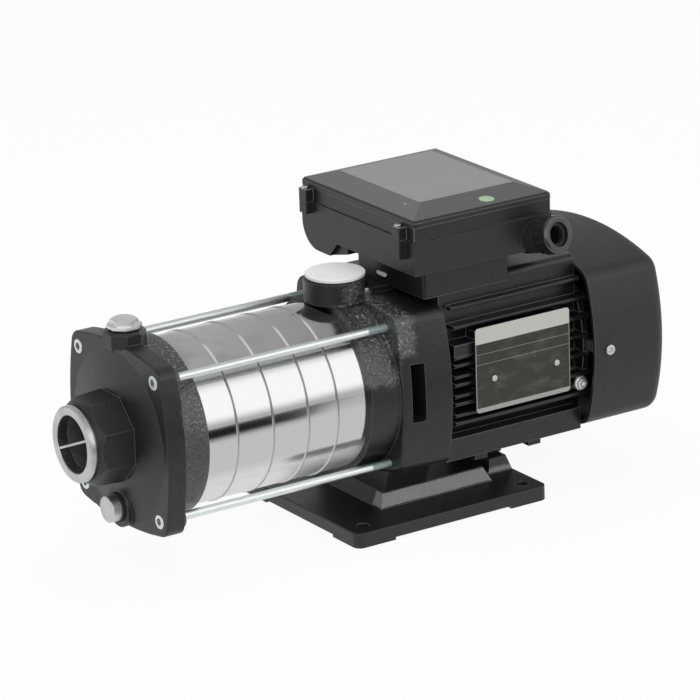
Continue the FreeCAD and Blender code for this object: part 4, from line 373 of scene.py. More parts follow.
    def surface(self, shader: bpy.types.Node, kind: str = "ShaderNodeOutputMaterial") -> None:
        """Join a shader to the output node."""
        self.join(self.add(kind).inputs["Surface"], shader.outputs[0])


def new_material(name: str) -> tuple[bpy.types.Material, Graph]:
    """Make an empty node material.

    Args:
        name: The material's name.

    Returns:
        The material and its graph.
    """
    material = bpy.data.materials.new(name)
    material.use_nodes = True
    return material, Graph(material.node_tree)


# Finishes


@dataclass(frozen=True)
class Finish:
    """Named finish that becomes one node material."""

    name: str

    def inputs(self, g: Graph) -> dict[str, object]:
        """Inputs of the principled shader, by name."""
        raise NotImplementedError

    def material(self) -> bpy.types.Material:
        """Build the node material.

        Returns:
            The new material.
        """
        made, g = new_material(self.name)
        g.surface(g.feed(g.add("ShaderNodeBsdfPrincipled"), **self.inputs(g)))
        return made


@dataclass(frozen=True)
class RoughZone:
    """Box of a casting with a deeper glossy grain, whose colour carries painted light: a paler
    tone, more pale specks and painted glints.
    """

    low: Point
    high: Point
    soft: float
    specks: float = 2.0
    # Painted light: share of the pale tone, and of painted glint dots
    painted_light: float = 0.0
    glints: float = 0.0
    wobble_size: float = 12.0 * MM

    def mask(self, g: Graph) -> Socket:
        """Mask that is 1 inside the box and fades out round it.

        Args:
            g: The material's graph.

        Returns:
            The mask's output.
        """
        wobble = g.times(g.minus(g.noise(self.wobble_size), 0.5), 2.0 * self.soft)
        inside = 1.0
        for value, low, high in zip(g.parts(), self.low, self.high):
            inside = g.times(inside, g.within(g.plus(value, wobble), low, high, self.soft))
        return inside


@dataclass(frozen=True)
class CastPaint(Finish):
    """Painted casting: sand grain under satin paint, and a painted highlight on its edges.

    Its rough zones have a deeper and glossier grain, and their colour carries painted light
    and painted glints. A passage round the shaft axis may be paler. The ratios size clouds
    and specks by the grain, and glints by the rough grain.
    """

    colour: Colour
    speck_colour: Colour
    roughness: float
    specks: float
    grain: float = 1.4 * MM
    grain_depth: float = 0.16 * MM
    speck_ratio: float = 0.55
    speck_band: Span = (0.60, 0.72)
    cloud_ratio: float = 9.0
    cloud_band: Span = (0.3, 0.7)
    cloud_gain: float = 1.35
    gloss_swing: float = 0.16
    # Painted highlight on the edges: its colour and share; the reach sizes the edge
    edge_sheen_colour: Colour = (0.3, 0.3, 0.305)
    edge_sheen_share: float = 0.36
    edge_reach: float = 1.1 * MM
    rough_zones: tuple[RoughZone, ...] = ()
    rough_grain: float = 2.4 * MM
    rough_depth: float = 1.2 * MM
    rough_gloss: float = 0.1
    rough_shine: float = 0.5
    glint_ratio: float = 0.8
    glint_band: Span = (0.56, 0.68)
    glint_colour: Colour = (0.5, 0.5, 0.5)
    passage_radius: float = 0.0
    passage_soft: float = 0.4 * MM
    passage_colour: Colour = (0.13, 0.13, 0.127)

    def inputs(self, g: Graph) -> dict[str, object]:
        """Grain, clouds, specks, rough zones with painted light and glints, edge highlights,
        passage.

        Args:
            g: The material's graph.

        Returns:
            Inputs of the principled shader, by name.
        """
        shine = PLAIN_SHINE
        cloud = g.noise(self.grain * self.cloud_ratio)
        speck = g.noise(self.grain * self.speck_ratio, detail=2.0, rough=0.7)
        share = g.times(g.band(speck, *self.speck_band), self.specks)
        rounded, edge = g.bevelled_edge(self.edge_reach)
        normal = g.bump(g.noise(self.grain, detail=4.0), self.grain_depth, rounded)
        gloss = g.swing(self.roughness, self.gloss_swing, cloud)
        lighter = scaled(self.colour, self.cloud_gain)
        tone = g.blend(g.band(cloud, *self.cloud_band), self.colour, lighter)
        # Rough zones: deeper grain and more gloss, and painted light in the colour: more pale
        # specks, a paler tone and painted glint dots
        if self.rough_zones:
            zone, more, painted_light, glints = 0.0, 1.0, 0.0, 0.0
            for rough in self.rough_zones:
                mask = rough.mask(g)
                zone = g.most(zone, mask)
                more = g.plus(more, g.times(mask, rough.specks))
                painted_light = g.most(painted_light, g.times(mask, rough.painted_light))
                glints = g.most(glints, g.times(mask, rough.glints))
            share = g.times(share, more)
            tone = g.blend(painted_light, tone, self.speck_colour)
            sparkle = g.noise(self.rough_grain * self.glint_ratio, detail=2.0, rough=0.65)
            sparkle = g.band(sparkle, *self.glint_band)
            # Painted glints: bright dots of colour in the zones
            tone = g.blend(g.times(sparkle, glints), tone, self.glint_colour)
            grit = g.times(zone, g.noise(self.rough_grain, rough=0.6))
            normal = g.bump(grit, self.rough_depth, normal)
            gloss = g.minus(gloss, g.times(zone, self.rough_gloss))
            shine = g.plus(PLAIN_SHINE, g.times(zone, self.rough_shine))
        tone = g.blend(share, tone, self.speck_colour)
        # Painted highlight: edges blended towards a paler colour
        tone = g.blend(g.times(edge, self.edge_sheen_share), tone, self.edge_sheen_colour)
        if self.passage_radius:
            _, y, z = g.parts()
            away = g.radius(y, z, (0.0, SHAFT_HEIGHT))
            inner = g.outside(away, self.passage_radius, self.passage_radius + self.passage_soft)
            tone = g.blend(inner, tone, self.passage_colour)
        return {
            "Base_Color": tone, "Roughness": gloss, "Normal": normal, "Specular_IOR_Level": shine,
        }


@dataclass(frozen=True)
class SleeveSteel(Finish):
    """Bright rolled tube: mirror-like, duller low down, with matt beads round it.

    Its colour carries painted reflections: painted grey clouds high up, painted shade high up
    towards the far end, a painted paler lower side, painted bead lines, and a painted highlight
    on the beads in a crest high on the tube. Heights are from the shaft axis.
    """

    beads: tuple[float, ...]
    colour: Colour = (0.6, 0.6, 0.595)
    far_shade_colour: Colour = (0.44, 0.44, 0.43)
    cloud_reflection_colour: Colour = (0.5, 0.5, 0.49)
    cloud_size: float = 30.0 * MM
    cloud_band: Span = (0.42, 0.66)
    lower_light_colour: Colour = (0.93, 0.93, 0.92)
    bead_reflection_colour: Colour = (0.24, 0.25, 0.22)
    lower_bead_reflection_colour: Colour = (0.46, 0.48, 0.43)
    top_bead_reflection_colour: Colour = (0.56, 0.56, 0.55)
    bead_edge: Span = (0.35 * MM, 0.95 * MM)
    bead_turn: Span = (-6.0 * MM, 10.0 * MM)
    crest_highlight_colour: Colour = (0.98, 0.98, 0.98)
    crest_spread: float = 0.4 * MM
    crest_start: Span = (43.0 * MM, 49.0 * MM)
    crest_end: Span = (56.0 * MM, 59.5 * MM)
    upper: Span = (36.0 * MM, 46.0 * MM)
    lower: Span = (-38.0 * MM, -20.0 * MM)
    along: Span = (-170.0 * MM, -50.0 * MM)
    roughness: float = 0.11
    bead_roughness: float = 0.3
    lower_roughness: float = 0.27
    lower_diffuse: float = 0.5
    grain: float = 0.35 * MM
    grain_length: float = 14.0
    grain_depth: float = 0.003 * MM

    def inputs(self, g: Graph) -> dict[str, object]:
        """Painted clouds and shade high up, a paler painted lower side, painted bead lines and
        crest.

        Args:
            g: The material's graph.

        Returns:
            Inputs of the principled shader, by name.
        """
        x, _, z = g.parts()
        rise = g.minus(z, SHAFT_HEIGHT)
        # Painted highlight: a crest high on the tube where the beads are painted bright and wider
        crest = g.times(g.band(rise, *self.crest_start), g.outside(rise, *self.crest_end))
        spread = g.times(crest, self.crest_spread)
        bead = 0.0
        for place in self.beads:
            away = g.minus(g.away(x, place), spread)
            bead = g.most(bead, g.outside(away, *self.bead_edge))
        high = g.band(rise, *self.upper)
        low = g.outside(rise, *self.lower)
        cloud = g.band(g.noise(self.cloud_size, detail=2.0), *self.cloud_band)
        # Painted reflections: grey clouds and a darker far end high up, a paler lower side
        tone = g.blend(g.times(cloud, high), self.colour, self.cloud_reflection_colour)
        tone = g.blend(g.times(high, g.band(x, *self.along)), tone, self.far_shade_colour)
        tone = g.blend(low, tone, self.lower_light_colour)
        # Painted reflections on the beads: darker above, paler below, paler again at the top
        line = g.outside(rise, *self.bead_turn)
        line = g.blend(line, self.bead_reflection_colour, self.lower_bead_reflection_colour)
        line = g.blend(g.band(rise, *self.crest_end), line, self.top_bead_reflection_colour)
        tone = g.blend(bead, tone, g.blend(crest, line, self.crest_highlight_colour))
        dull = g.plus(g.times(low, self.lower_roughness), self.roughness)
        grain = g.noise(self.grain, squeeze=1.0 / self.grain_length)
        return {
            "Base_Color": tone,
            "Roughness": g.plus(g.times(bead, self.bead_roughness), dull),
            "Metallic": g.minus(1.0, g.times(low, self.lower_diffuse)),
            "Normal": g.bump(grain, self.grain_depth),
        }


@dataclass(frozen=True)
class Steel(Finish):
    """Bare metal with a fine brushed grain that runs along one axis."""

    colour: Colour
    roughness: float
    grain_axis: Axis = Axis.X
    grain: float = 0.35 * MM
    grain_length: float = 14.0
    grain_depth: float = 0.004 * MM
    grain_share: float = 0.12
    stain_shade: float = 0.82
    stain_size: float = 18.0 * MM
    stain_band: Span = (0.35, 0.75)
    gloss_swing: float = 0.1
    edge_reach: float = 0.35 * MM

    def inputs(self, g: Graph) -> dict[str, object]:
        """Brushed grain and faint stains, which are darker.

        Args:
            g: The material's graph.

        Returns:
            Inputs of the principled shader, by name.
        """
        grain = g.noise(self.grain, squeeze=1.0 / self.grain_length, axis=self.grain_axis)
        dark = scaled(self.colour, self.stain_shade)
        tone = g.blend(g.band(g.noise(self.stain_size), *self.stain_band), self.colour, dark)
        return {
            "Base_Color": g.blend(g.times(grain, self.grain_share), tone, dark),
            "Roughness": g.swing(self.roughness, self.gloss_swing, grain),
            "Metallic": 1.0,
            "Normal": g.bump(grain, self.grain_depth, g.bevelled_edge(self.edge_reach)[0]),
        }


@dataclass(frozen=True)
class RodSteel(Finish):
    """Zinc-plated rods with painted shade in the head sockets, and a rolled, bluish thread at the
    far end.
    """

    colour: Colour
    thread_colour: Colour
    thread_start: float
    roughness: float = 0.44
    streak_shade: float = 0.86
    streak_size: float = 1.2 * MM
    streak_squeeze: float = 0.08
    streak_band: Span = (0.35, 0.8)
    pitch: float = 1.0 * MM
    thread_depth: float = 0.25 * MM
    thread_soft: float = 1.0 * MM
    thread_share: float = 0.85
    thread_roughness: float = 0.12
    reach: float = 50.0 * MM
    # Painted shade in the head sockets
    socket_shade: float = 0.55
    socket_radius: float = 2.5 * MM
    socket_soft: float = 0.2 * MM
    socket_end: Span = (-200.0 * MM, -199.0 * MM)

    def in_socket(self, g: Graph, along: Socket, across: Socket, height: Socket) -> Socket:
        """Find the sockets of the four heads, which lie on a square round the shaft.

        Args:
            g: The material's graph.
            along: Coordinate along the shaft.
            across: Coordinate across it.
            height: Coordinate upwards.

        Returns:
            A mask that is 1 in a socket.
        """
        side, level = g.away(across, 0.0), g.away(height, SHAFT_HEIGHT)
        from_axis = g.radius(side, level, (self.reach, self.reach))
        inner = g.outside(from_axis, self.socket_radius, self.socket_radius + self.socket_soft)
        return g.times(inner, g.outside(along, *self.socket_end))

    def inputs(self, g: Graph) -> dict[str, object]:
        """Streaked plating, thread and sockets.

        Args:
            g: The material's graph.

        Returns:
            Inputs of the principled shader, by name.
        """
        x, y, z = g.parts()
        zone = g.band(x, self.thread_start - self.thread_soft, self.thread_start + self.thread_soft)
        ridge = g.math("PINGPONG", x, self.pitch / 2.0)
        ridge = g.math("DIVIDE", ridge, self.pitch / 2.0)
        streak = g.noise(self.streak_size, detail=4.0, squeeze=self.streak_squeeze)
        dark = scaled(self.colour, self.streak_shade)
        tone = g.blend(g.band(streak, *self.streak_band), self.colour, dark)
        tone = g.blend(g.times(zone, self.thread_share), tone, self.thread_colour)
        # Painted shade: the head sockets darkened
        tone = g.blend(self.in_socket(g, x, y, z), tone, scaled(self.colour, self.socket_shade))
        return {
            "Base_Color": tone,
            "Roughness": g.plus(self.roughness, g.times(zone, self.thread_roughness)),
            "Metallic": 1.0,
            "Normal": g.bump(g.times(ridge, zone), self.thread_depth),
        }


@dataclass(frozen=True)
class Plastic(Finish):
    """Moulded plastic with a fine etched grain."""

    colour: Colour
    roughness: float
    grain: float = 0.5 * MM
    grain_depth: float = 0.02 * MM
    cloud_shade: float = 0.76
    cloud_size: float = 25.0 * MM
    gloss_swing: float = 0.12
    edge_sheen_colour: Colour = (0.2, 0.2, 0.2)
    edge_sheen_share: float = 0.25
    edge_reach: float = 0.6 * MM
    shine: float = PLAIN_SHINE

    def inputs(self, g: Graph) -> dict[str, object]:
        """Clouded colour, a painted highlight on the edges and an even grain.

        Args:
            g: The material's graph.

        Returns:
            Inputs of the principled shader, by name.
        """
        cloud = g.noise(self.cloud_size)
        rounded, edge = g.bevelled_edge(self.edge_reach)
        tone = g.blend(cloud, scaled(self.colour, self.cloud_shade), self.colour)
        # Painted highlight: edges blended towards their own paler colour
        return {
            "Base_Color": g.blend(g.times(edge, self.edge_sheen_share), tone, self.edge_sheen_colour),
            "Roughness": g.swing(self.roughness, self.gloss_swing, cloud),
            "Normal": g.bump(g.noise(self.grain), self.grain_depth, rounded),
            "Specular_IOR_Level": self.shine,
        }


@dataclass(frozen=True)
class LidPlastic(Finish):
    """Black lid plastic with painted light: its frame, front slope and raised inner panel paler
    than its sides.
    """

    side_colour: Colour
    frame_light_colour: Colour
    front_light_colour: Colour
    panel_light_colour: Colour
    panel_low: Span
    panel_high: Span
    panel_top: float
    panel_rise: Span = (-0.4 * MM, -0.1 * MM)
    panel_soft: float = 0.3 * MM
    panel_roughness: float = 0.06
    roughness: float = 0.36
    grain: float = 0.6 * MM
    grain_depth: float = 0.02 * MM
    cloud_size: float = 30.0 * MM
    cloud_share: float = 0.12
    edge_sheen_colour: Colour = (0.4, 0.4, 0.4)
    edge_sheen_share: float = 0.75
    edge_reach: float = 0.7 * MM
    front_slope: Span = (0.03, 0.07)
    top_slope: Span = (0.75, 0.9)

    def inputs(self, g: Graph) -> dict[str, object]:
        """Panel, frame, front slope and sides, each in its own tone of painted light.

        Args:
            g: The material's graph.

        Returns:
            Inputs of the principled shader, by name.
        """
        x, y, z = g.parts()
        panel = g.band(z, *(self.panel_top + rise for rise in self.panel_rise))
        for value, low, high in zip((x, y), self.panel_low, self.panel_high):
            panel = g.times(panel, g.within(value, low, high, self.panel_soft))
        rounded, edge = g.bevelled_edge(self.edge_reach)
        # Painted light: faces tinted by which way they face, the raised panel palest
        slope, _, level = g.split(g.facing())
        front = g.band(g.times(slope, -1.0), *self.front_slope)
        tone = g.blend(front, self.frame_light_colour, self.front_light_colour)
        tone = g.blend(g.band(level, *self.top_slope), self.side_colour, tone)
        tone = g.blend(panel, tone, self.panel_light_colour)
        tone = g.blend(g.times(g.noise(self.cloud_size), self.cloud_share), tone, self.side_colour)
        # Painted highlight: edges blended towards a paler colour
        return {
            "Base_Color": g.blend(g.times(edge, self.edge_sheen_share), tone, self.edge_sheen_colour),
            "Roughness": g.plus(self.roughness, g.times(panel, self.panel_roughness)),
            "Normal": g.bump(g.noise(self.grain), self.grain_depth, rounded),
        }


@dataclass(frozen=True)
class Rubber(Finish):
    """Matt black rubber."""

    colour: Colour = (0.012, 0.012, 0.012)
    pale_gain: float = 2.2
    roughness: float = 0.65
    grain: float = 0.8 * MM
    grain_depth: float = 0.03 * MM

    def inputs(self, g: Graph) -> dict[str, object]:
        """Fine grain that is paler on its crests.

        Args:
            g: The material's graph.

        Returns:
            Inputs of the principled shader, by name.
        """
        grain = g.noise(self.grain)
        return {
            "Base_Color": g.blend(grain, self.colour, scaled(self.colour, self.pale_gain)),
            "Roughness": self.roughness,
            "Normal": g.bump(grain, self.grain_depth),
        }


@dataclass(frozen=True)
class PlateFace(Finish):
    """Bare nameplate: silvered head band, narrow foot band and a dark field with fine rules."""

    low: Span
    high: Span
    head_band: float
    foot_band: float
    rules: tuple[float, ...]
    soft: float = 0.12 * MM
    rim: float = 0.55 * MM
    silver: Colour = (0.62, 0.62, 0.58)
    dim_silver: Colour = (0.4, 0.4, 0.38)
    field_colour: Colour = (0.02, 0.021, 0.014)
    scuff_colour: Colour = (0.085, 0.085, 0.062)
    scuff_size: float = 9.0 * MM
    scuff_squeeze: float = 0.6
    scuff_band: Span = (0.45, 0.8)
    scuff_roughness: float = 0.2
    rule_edge: Span = (0.12 * MM, 0.3 * MM)
    rule_share: float = 0.35
    grain: float = 0.4 * MM
    grain_squeeze: float = 0.05
    grain_depth: float = 0.006 * MM
    edge_reach: float = 0.3 * MM
    roughness: float = 0.24
    metal: float = 0.75

    def step(self, g: Graph, value: Socket, place: float) -> Socket:
        """Mask that turns from 0 to 1 at a place."""
        return g.band(value, place - self.soft, place + self.soft)

    def inputs(self, g: Graph) -> dict[str, object]:
        """Bands, rim, rules and scuffed field.

        Args:
            g: The material's graph.

        Returns:
            Inputs of the principled shader, by name.
        """
        x, _, z = g.parts()
        head = self.step(g, z, self.high[1] - self.head_band)
        foot = g.minus(1.0, self.step(g, z, self.low[1] + self.foot_band))
        left = g.minus(1.0, self.step(g, x, self.low[0] + self.rim))
        right = self.step(g, x, self.high[0] - self.rim)
        dim = g.most(foot, g.most(left, right))
        rules = 0.0
        for place in self.rules:
            rules = g.most(rules, g.outside(g.away(z, place), *self.rule_edge))
        scuff = g.noise(self.scuff_size, detail=5.0, rough=0.6, squeeze=self.scuff_squeeze)
        tone = g.blend(g.band(scuff, *self.scuff_band), self.field_colour, self.scuff_colour)
        tone = g.blend(g.times(rules, self.rule_share), tone, self.silver)
        tone = g.blend(dim, tone, self.dim_silver)
        tone = g.blend(head, tone, self.silver)
        grain = g.noise(self.grain, detail=2.0, squeeze=self.grain_squeeze)
        return {
            "Base_Color": tone,
            "Roughness": g.plus(self.roughness, g.times(scuff, self.scuff_roughness)),
            "Metallic": g.times(g.most(head, dim), self.metal),
            "Normal": g.bump(grain, self.grain_depth, g.bevelled_edge(self.edge_reach)[0]),
        }


@dataclass(frozen=True)
class RingedCap(Finish):
    """Pale moulded cap with turned rings round its upright axis."""

    centre: Span
    colour: Colour = (0.93, 0.93, 0.92)
    roughness: float = 0.42
    ring_pitch: float = 3.4 * MM
    ring_depth: float = 0.10 * MM
    ring_shade: float = 0.6
    ring_share: float = 0.12
    cloud_size: float = 12.0 * MM
    cloud_shade: float = 0.75
    cloud_share: float = 0.25
    grain: float = 1.0 * MM
    grain_depth: float = 0.02 * MM
    edge_reach: float = 0.4 * MM

    def inputs(self, g: Graph) -> dict[str, object]:
        """Rings, soft clouds and a fine grain.

        Args:
            g: The material's graph.

        Returns:
            Inputs of the principled shader, by name.
        """
        x, y, _ = g.parts()
        turns = g.times(g.radius(x, y, self.centre), 2.0 * math.pi / self.ring_pitch)
        ring = g.plus(0.5, g.times(g.math("SINE", turns), 0.5))
        cloud = g.times(g.noise(self.cloud_size), self.cloud_share)
        tone = g.blend(cloud, self.colour, scaled(self.colour, self.cloud_shade))
        tone = g.blend(g.times(ring, self.ring_share), tone, scaled(self.colour, self.ring_shade))
        normal = g.bump(ring, self.ring_depth, g.bevelled_edge(self.edge_reach)[0])
        return {
            "Base_Color": tone,
            "Roughness": self.roughness,
            "Normal": g.bump(g.noise(self.grain), self.grain_depth, normal),
        }


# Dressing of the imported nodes


@dataclass
class Dresser:
    """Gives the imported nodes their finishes."""

    made: dict[str, bpy.types.Material] = field(default_factory=dict)

    def dress(self, finish: Finish, *nodes: str) -> None:
        """Put a finish on nodes.

        Args:
            finish: The finish.
            nodes: Names of the nodes.
        """
        if finish.name not in self.made:
            self.made[finish.name] = finish.material()
        for name in nodes:
            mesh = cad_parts[name].data
            mesh.materials.clear()
            mesh.materials.append(self.made[finish.name])
        LOG.info("%s on %s", finish.name, ", ".join(nodes))


@dataclass(frozen=True)
class PumpFinishes:
    """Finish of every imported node, grouped as the pump is built up."""

    black: Colour = (0.009, 0.009, 0.0095)
    pale_speck: Colour = (0.16, 0.16, 0.165)
    zinc: Colour = (0.66, 0.68, 0.67)
    # Rough zones whose colour carries painted light and painted glints
    casing_body: RoughZone = RoughZone(
        (-209.5 * MM, -80.0 * MM, 20.0 * MM), (-188.0 * MM, 80.0 * MM, 180.0 * MM),
        soft=3.0 * MM, glints=0.08,
    )
    casing_top: RoughZone = RoughZone(
        (-209.5 * MM, -64.0 * MM, 112.0 * MM), (-188.0 * MM, -10.0 * MM, 180.0 * MM),
        soft=4.0 * MM, specks=3.0, painted_light=0.08, glints=0.32,
    )
    bracket_chamber: RoughZone = RoughZone(
        (-75.0 * MM, -80.0 * MM, 112.0 * MM), (-40.0 * MM, 10.0 * MM, 154.0 * MM),
        soft=6.0 * MM, painted_light=0.06, glints=0.25,
    )
    bracket_corner: RoughZone = RoughZone(
        (-48.0 * MM, -80.0 * MM, 134.0 * MM), (-28.0 * MM, -24.0 * MM, 170.0 * MM),
        soft=8.0 * MM, specks=4.0, painted_light=0.16, glints=0.5,
    )
    # Riser face painted pale all over: painted light
    riser_face: RoughZone = RoughZone(
        (-45.0 * MM, -53.0 * MM, 12.4 * MM), (84.0 * MM, -33.0 * MM, 20.8 * MM),
        soft=0.8 * MM, specks=3.0, painted_light=1.0, glints=0.2,
    )
    inlet_radius: float = 21.0 * MM
    bead_places: tuple[float, ...] = (-165.7 * MM, -136.8 * MM, -108.0 * MM, -84.0 * MM)
    rod_thread_start: float = -52.0 * MM
    lid_panel_start: Span = (3.5 * MM, 30.0 * MM)
    lid_panel_end: Span = (17.5 * MM, 12.0 * MM)
    plate_head: float = 11.8 * MM
    plate_foot: float = 3.4 * MM
    plate_rules: tuple[float, ...] = (19.5 * MM, 27.0 * MM)

    def castings(self, dresser: Dresser) -> None:
        """Dress base, suction casing, bracket, motor frame and fan cover.

        Args:
            dresser: Puts the finishes on.
        """
        suction = CastPaint(
            "suction_paint", self.black, self.pale_speck, 0.36, specks=0.3, edge_sheen_share=0.22,
            rough_zones=(self.casing_body, self.casing_top), passage_radius=self.inlet_radius,
        )
        bracket = CastPaint(
            "bracket_paint", self.black, self.pale_speck, 0.36, specks=0.35, edge_sheen_share=0.22,
            grain_depth=0.24 * MM, rough_zones=(self.bracket_chamber, self.bracket_corner),
        )
        motor = CastPaint(
            "frame_paint", (0.008, 0.008, 0.0085), (0.08, 0.08, 0.082), 0.32, specks=0.12,
            grain=1.2 * MM, grain_depth=0.05 * MM, edge_sheen_share=0.7, edge_reach=0.8 * MM,
        )
        cover = CastPaint(
            "cover_paint", (0.012, 0.012, 0.0125), (0.05, 0.05, 0.051), 0.46, specks=0.35,
            grain=0.9 * MM, grain_depth=0.07 * MM, edge_sheen_share=0.25,
        )
        base = CastPaint(
            "base_paint", (0.01, 0.01, 0.0105), (0.18, 0.18, 0.175), 0.38, specks=0.2,
            rough_zones=(self.riser_face,), rough_depth=0.4 * MM, rough_gloss=0.0,
        )
        dresser.dress(suction, "suction_casing")
        dresser.dress(bracket, "discharge_bracket")
        dresser.dress(motor, "motor_frame")
        dresser.dress(cover, "fan_cover")
        dresser.dress(base, "base_plate")

    def metals(self, dresser: Dresser) -> None:
        """Dress sleeve, port ring, rods, plugs, fasteners and the metal pieces inside.

        Args:
            dresser: Puts the finishes on.
        """
        dresser.dress(SleeveSteel("sleeve_steel", self.bead_places), "outer_sleeve")
        ring = Steel("port_steel", (0.64, 0.64, 0.62), 0.34, stain_shade=0.76)
        dresser.dress(ring, "suction_port_ring")
        rods = RodSteel("rod_zinc", (0.84, 0.89, 0.86), (0.36, 0.48, 0.48), self.rod_thread_start)
        dresser.dress(rods, "tie_rods")
        plug = Steel("plug_zinc", (0.9, 0.9, 0.89), 0.48, Axis.Z, stain_shade=0.85)
        dresser.dress(plug, "priming_plug")
        dresser.dress(Steel("drain_zinc", (0.68, 0.68, 0.67), 0.48, stain_shade=0.85), "drain_plug")
        dresser.dress(
            Steel("screw_zinc", self.zinc, 0.28, Axis.Z), "foot_bolts", "platform_screw",
            "fan_cover_screws", "lid_screws", "nameplate_rivets", "impeller_nut",
        )
        dresser.dress(Steel("earth_zinc", (0.88, 0.88, 0.87), 0.5, Axis.Y), "earth_screw")
        starts = ("stage_chamber", "impeller_")
        pressed = [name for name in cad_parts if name.startswith(starts)]
        pressed.remove("impeller_nut")
        dresser.dress(Steel("pressed_steel", (0.6, 0.6, 0.6), 0.3), *pressed)
        dresser.dress(Steel("shaft_steel", (0.55, 0.55, 0.57), 0.2), "shaft")
        dresser.dress(
            Steel("bearing_steel", (0.6, 0.6, 0.62), 0.15), "front_bearing_outer",
            "front_bearing_inner", "rear_bearing_outer", "rear_bearing_inner", "preload_spring",
        )
        dresser.dress(Steel("core_steel", (0.2, 0.2, 0.21), 0.45), "stator_core", "rotor_core")
        dresser.dress(Steel("winding_copper", (0.5, 0.2, 0.08), 0.4, Axis.Y), "stator_winding")
        dresser.dress(Steel("cast_aluminium", (0.5, 0.5, 0.51), 0.5, Axis.Y), "rear_end_shield")
        dresser.dress(Steel("capacitor_can", (0.62, 0.62, 0.63), 0.35), "capacitor")

    def plastics(self, dresser: Dresser) -> None:
        """Dress box, lid, gland, cap, fan, seal pieces and rubber.

        Args:
            dresser: Puts the finishes on.
        """
        low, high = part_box("terminal_lid")
        start, end = self.lid_panel_start, self.lid_panel_end
        # The lid's tones by facing are painted light on one black plastic
        lid = LidPlastic(
            "lid_plastic", side_colour=(0.014, 0.014, 0.014), frame_light_colour=(0.06, 0.06, 0.06),
            front_light_colour=(0.09, 0.09, 0.09), panel_light_colour=(0.25, 0.25, 0.251),
            panel_low=(start[0], low.y + start[1]),
            panel_high=(high.x - end[0], high.y - end[1]),
            panel_top=high.z,
        )
        gland = Plastic("gland_plastic", (0.014, 0.014, 0.014), 0.14, edge_sheen_share=0.08, shine=1.0)
        seat_plug = Plastic(
            "seat_plug_plastic", (0.96, 0.96, 0.94), 0.35, cloud_shade=0.96,
            edge_sheen_colour=(0.9, 0.9, 0.9),
        )
        cap_low, cap_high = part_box("discharge_cap")
        centre = (cap_low + cap_high) / 2.0
        dresser.dress(Plastic("box_plastic", (0.017, 0.017, 0.017), 0.40), "terminal_box")
        dresser.dress(lid, "terminal_lid")
        dresser.dress(gland, "gland_body", "gland_nut")
        dresser.dress(Plastic("fan_plastic", (0.03, 0.03, 0.03), 0.5), "fan")
        dresser.dress(RingedCap("cap_plastic", (centre.x, centre.y)), "discharge_cap")
        dresser.dress(seat_plug, "seat_plug")
        dresser.dress(Plastic("terminal_plastic", (0.5, 0.48, 0.42), 0.5), "terminal_block")
        dresser.dress(Plastic("seal_ceramic", (0.75, 0.72, 0.66), 0.2), "seal_seat")
        dresser.dress(Plastic("seal_carbon", (0.02, 0.02, 0.02), 0.3), "seal_face")
        dresser.dress(
            Rubber("seal_rubber"), "sleeve_seals", "seal_bellows", "slinger", "box_gasket",
            "lid_gasket", "gland_seal", "priming_plug_gasket", "drain_plug_gasket",
        )

    def nameplate(self, dresser: Dresser) -> None:
        """Dress the bare nameplate.

        Args:
            dresser: Puts the finish on.
        """
        low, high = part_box("nameplate")
        rules = tuple(high.z - drop for drop in self.plate_rules)
        face = PlateFace(
            "plate_face", (low.x, low.z), (high.x, high.z), self.plate_head, self.plate_foot, rules
        )
        dresser.dress(face, "nameplate")

    def dress(self) -> None:
        """Dress every node of the frame."""
        dresser = Dresser()
        for group in (self.castings, self.metals, self.plastics, self.nameplate):
            group(dresser)


# Pieces made here


def finished_piece(
    name: str, mesh: bmesh.types.BMesh, material: bpy.types.Material, body: str
) -> bpy.types.Object:
    """Turn a bmesh into a piece that rides on a body.

    Args:
        name: The piece's name.
        mesh: Its geometry, in place, which is freed.
        material: Its finish.
        body: The CAD body that it rides on.

    Returns:
        The new object.
    """
    bmesh.ops.recalc_face_normals(mesh, faces=mesh.faces)
    data = bpy.data.meshes.new(name)
    mesh.to_mesh(data)
    mesh.free()
    data.materials.append(material)
    data.shade_smooth()
    data.set_sharp_from_angle(angle=SHARP_ANGLE)
    piece = bpy.data.objects.new(name, data)
    bpy.context.scene.collection.objects.link(piece)
    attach(piece, body)
    LOG.info("%s: %d faces on %s", name, len(data.polygons), body)
    return piece


@dataclass(frozen=True)
class LidDisc:
    """Round mark with a rounded rim that lies on the terminal lid."""

    name: str
    finish: Finish
    x: float
    y: float
    radius: float
    height: float
    sink: float
    segments: int = 48
    rim_share: float = 0.4
    look_from: float = 1.0

    def shape(self) -> bmesh.types.BMesh:
        """Make the disc and lay it on the lid's slope.

        Returns:
            The disc's geometry.
        """
        mesh = bmesh.new()
        bmesh.ops.create_cone(
            mesh, cap_ends=True, segments=self.segments, radius1=self.radius, radius2=self.radius,
            depth=self.height, matrix=Matrix.Translation((0.0, 0.0, self.height / 2.0 - self.sink)),
        )
        top = [edge for edge in mesh.edges if all(vertex.co.z > 0.0 for vertex in edge.verts)]
        bmesh.ops.bevel(
            mesh, geom=top, offset=self.height * self.rim_share, segments=2, profile=0.5,
            affect="EDGES", material=-1,
        )
        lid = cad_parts["terminal_lid"]
        above = Vector((self.x, self.y, self.look_from))
        _, place, normal, _ = lid.ray_cast(above, Vector((0.0, 0.0, -1.0)))
        turn = normal.to_track_quat("Z", "Y").to_matrix().to_4x4()
        bmesh.ops.transform(mesh, matrix=Matrix.Translation(place) @ turn, verts=mesh.verts)
        return mesh

    def build(self) -> bpy.types.Object:
        """Build the mark as a piece of the root body."""
        made = self.finish.material()
        return finished_piece(self.name, self.shape(), made, "root")


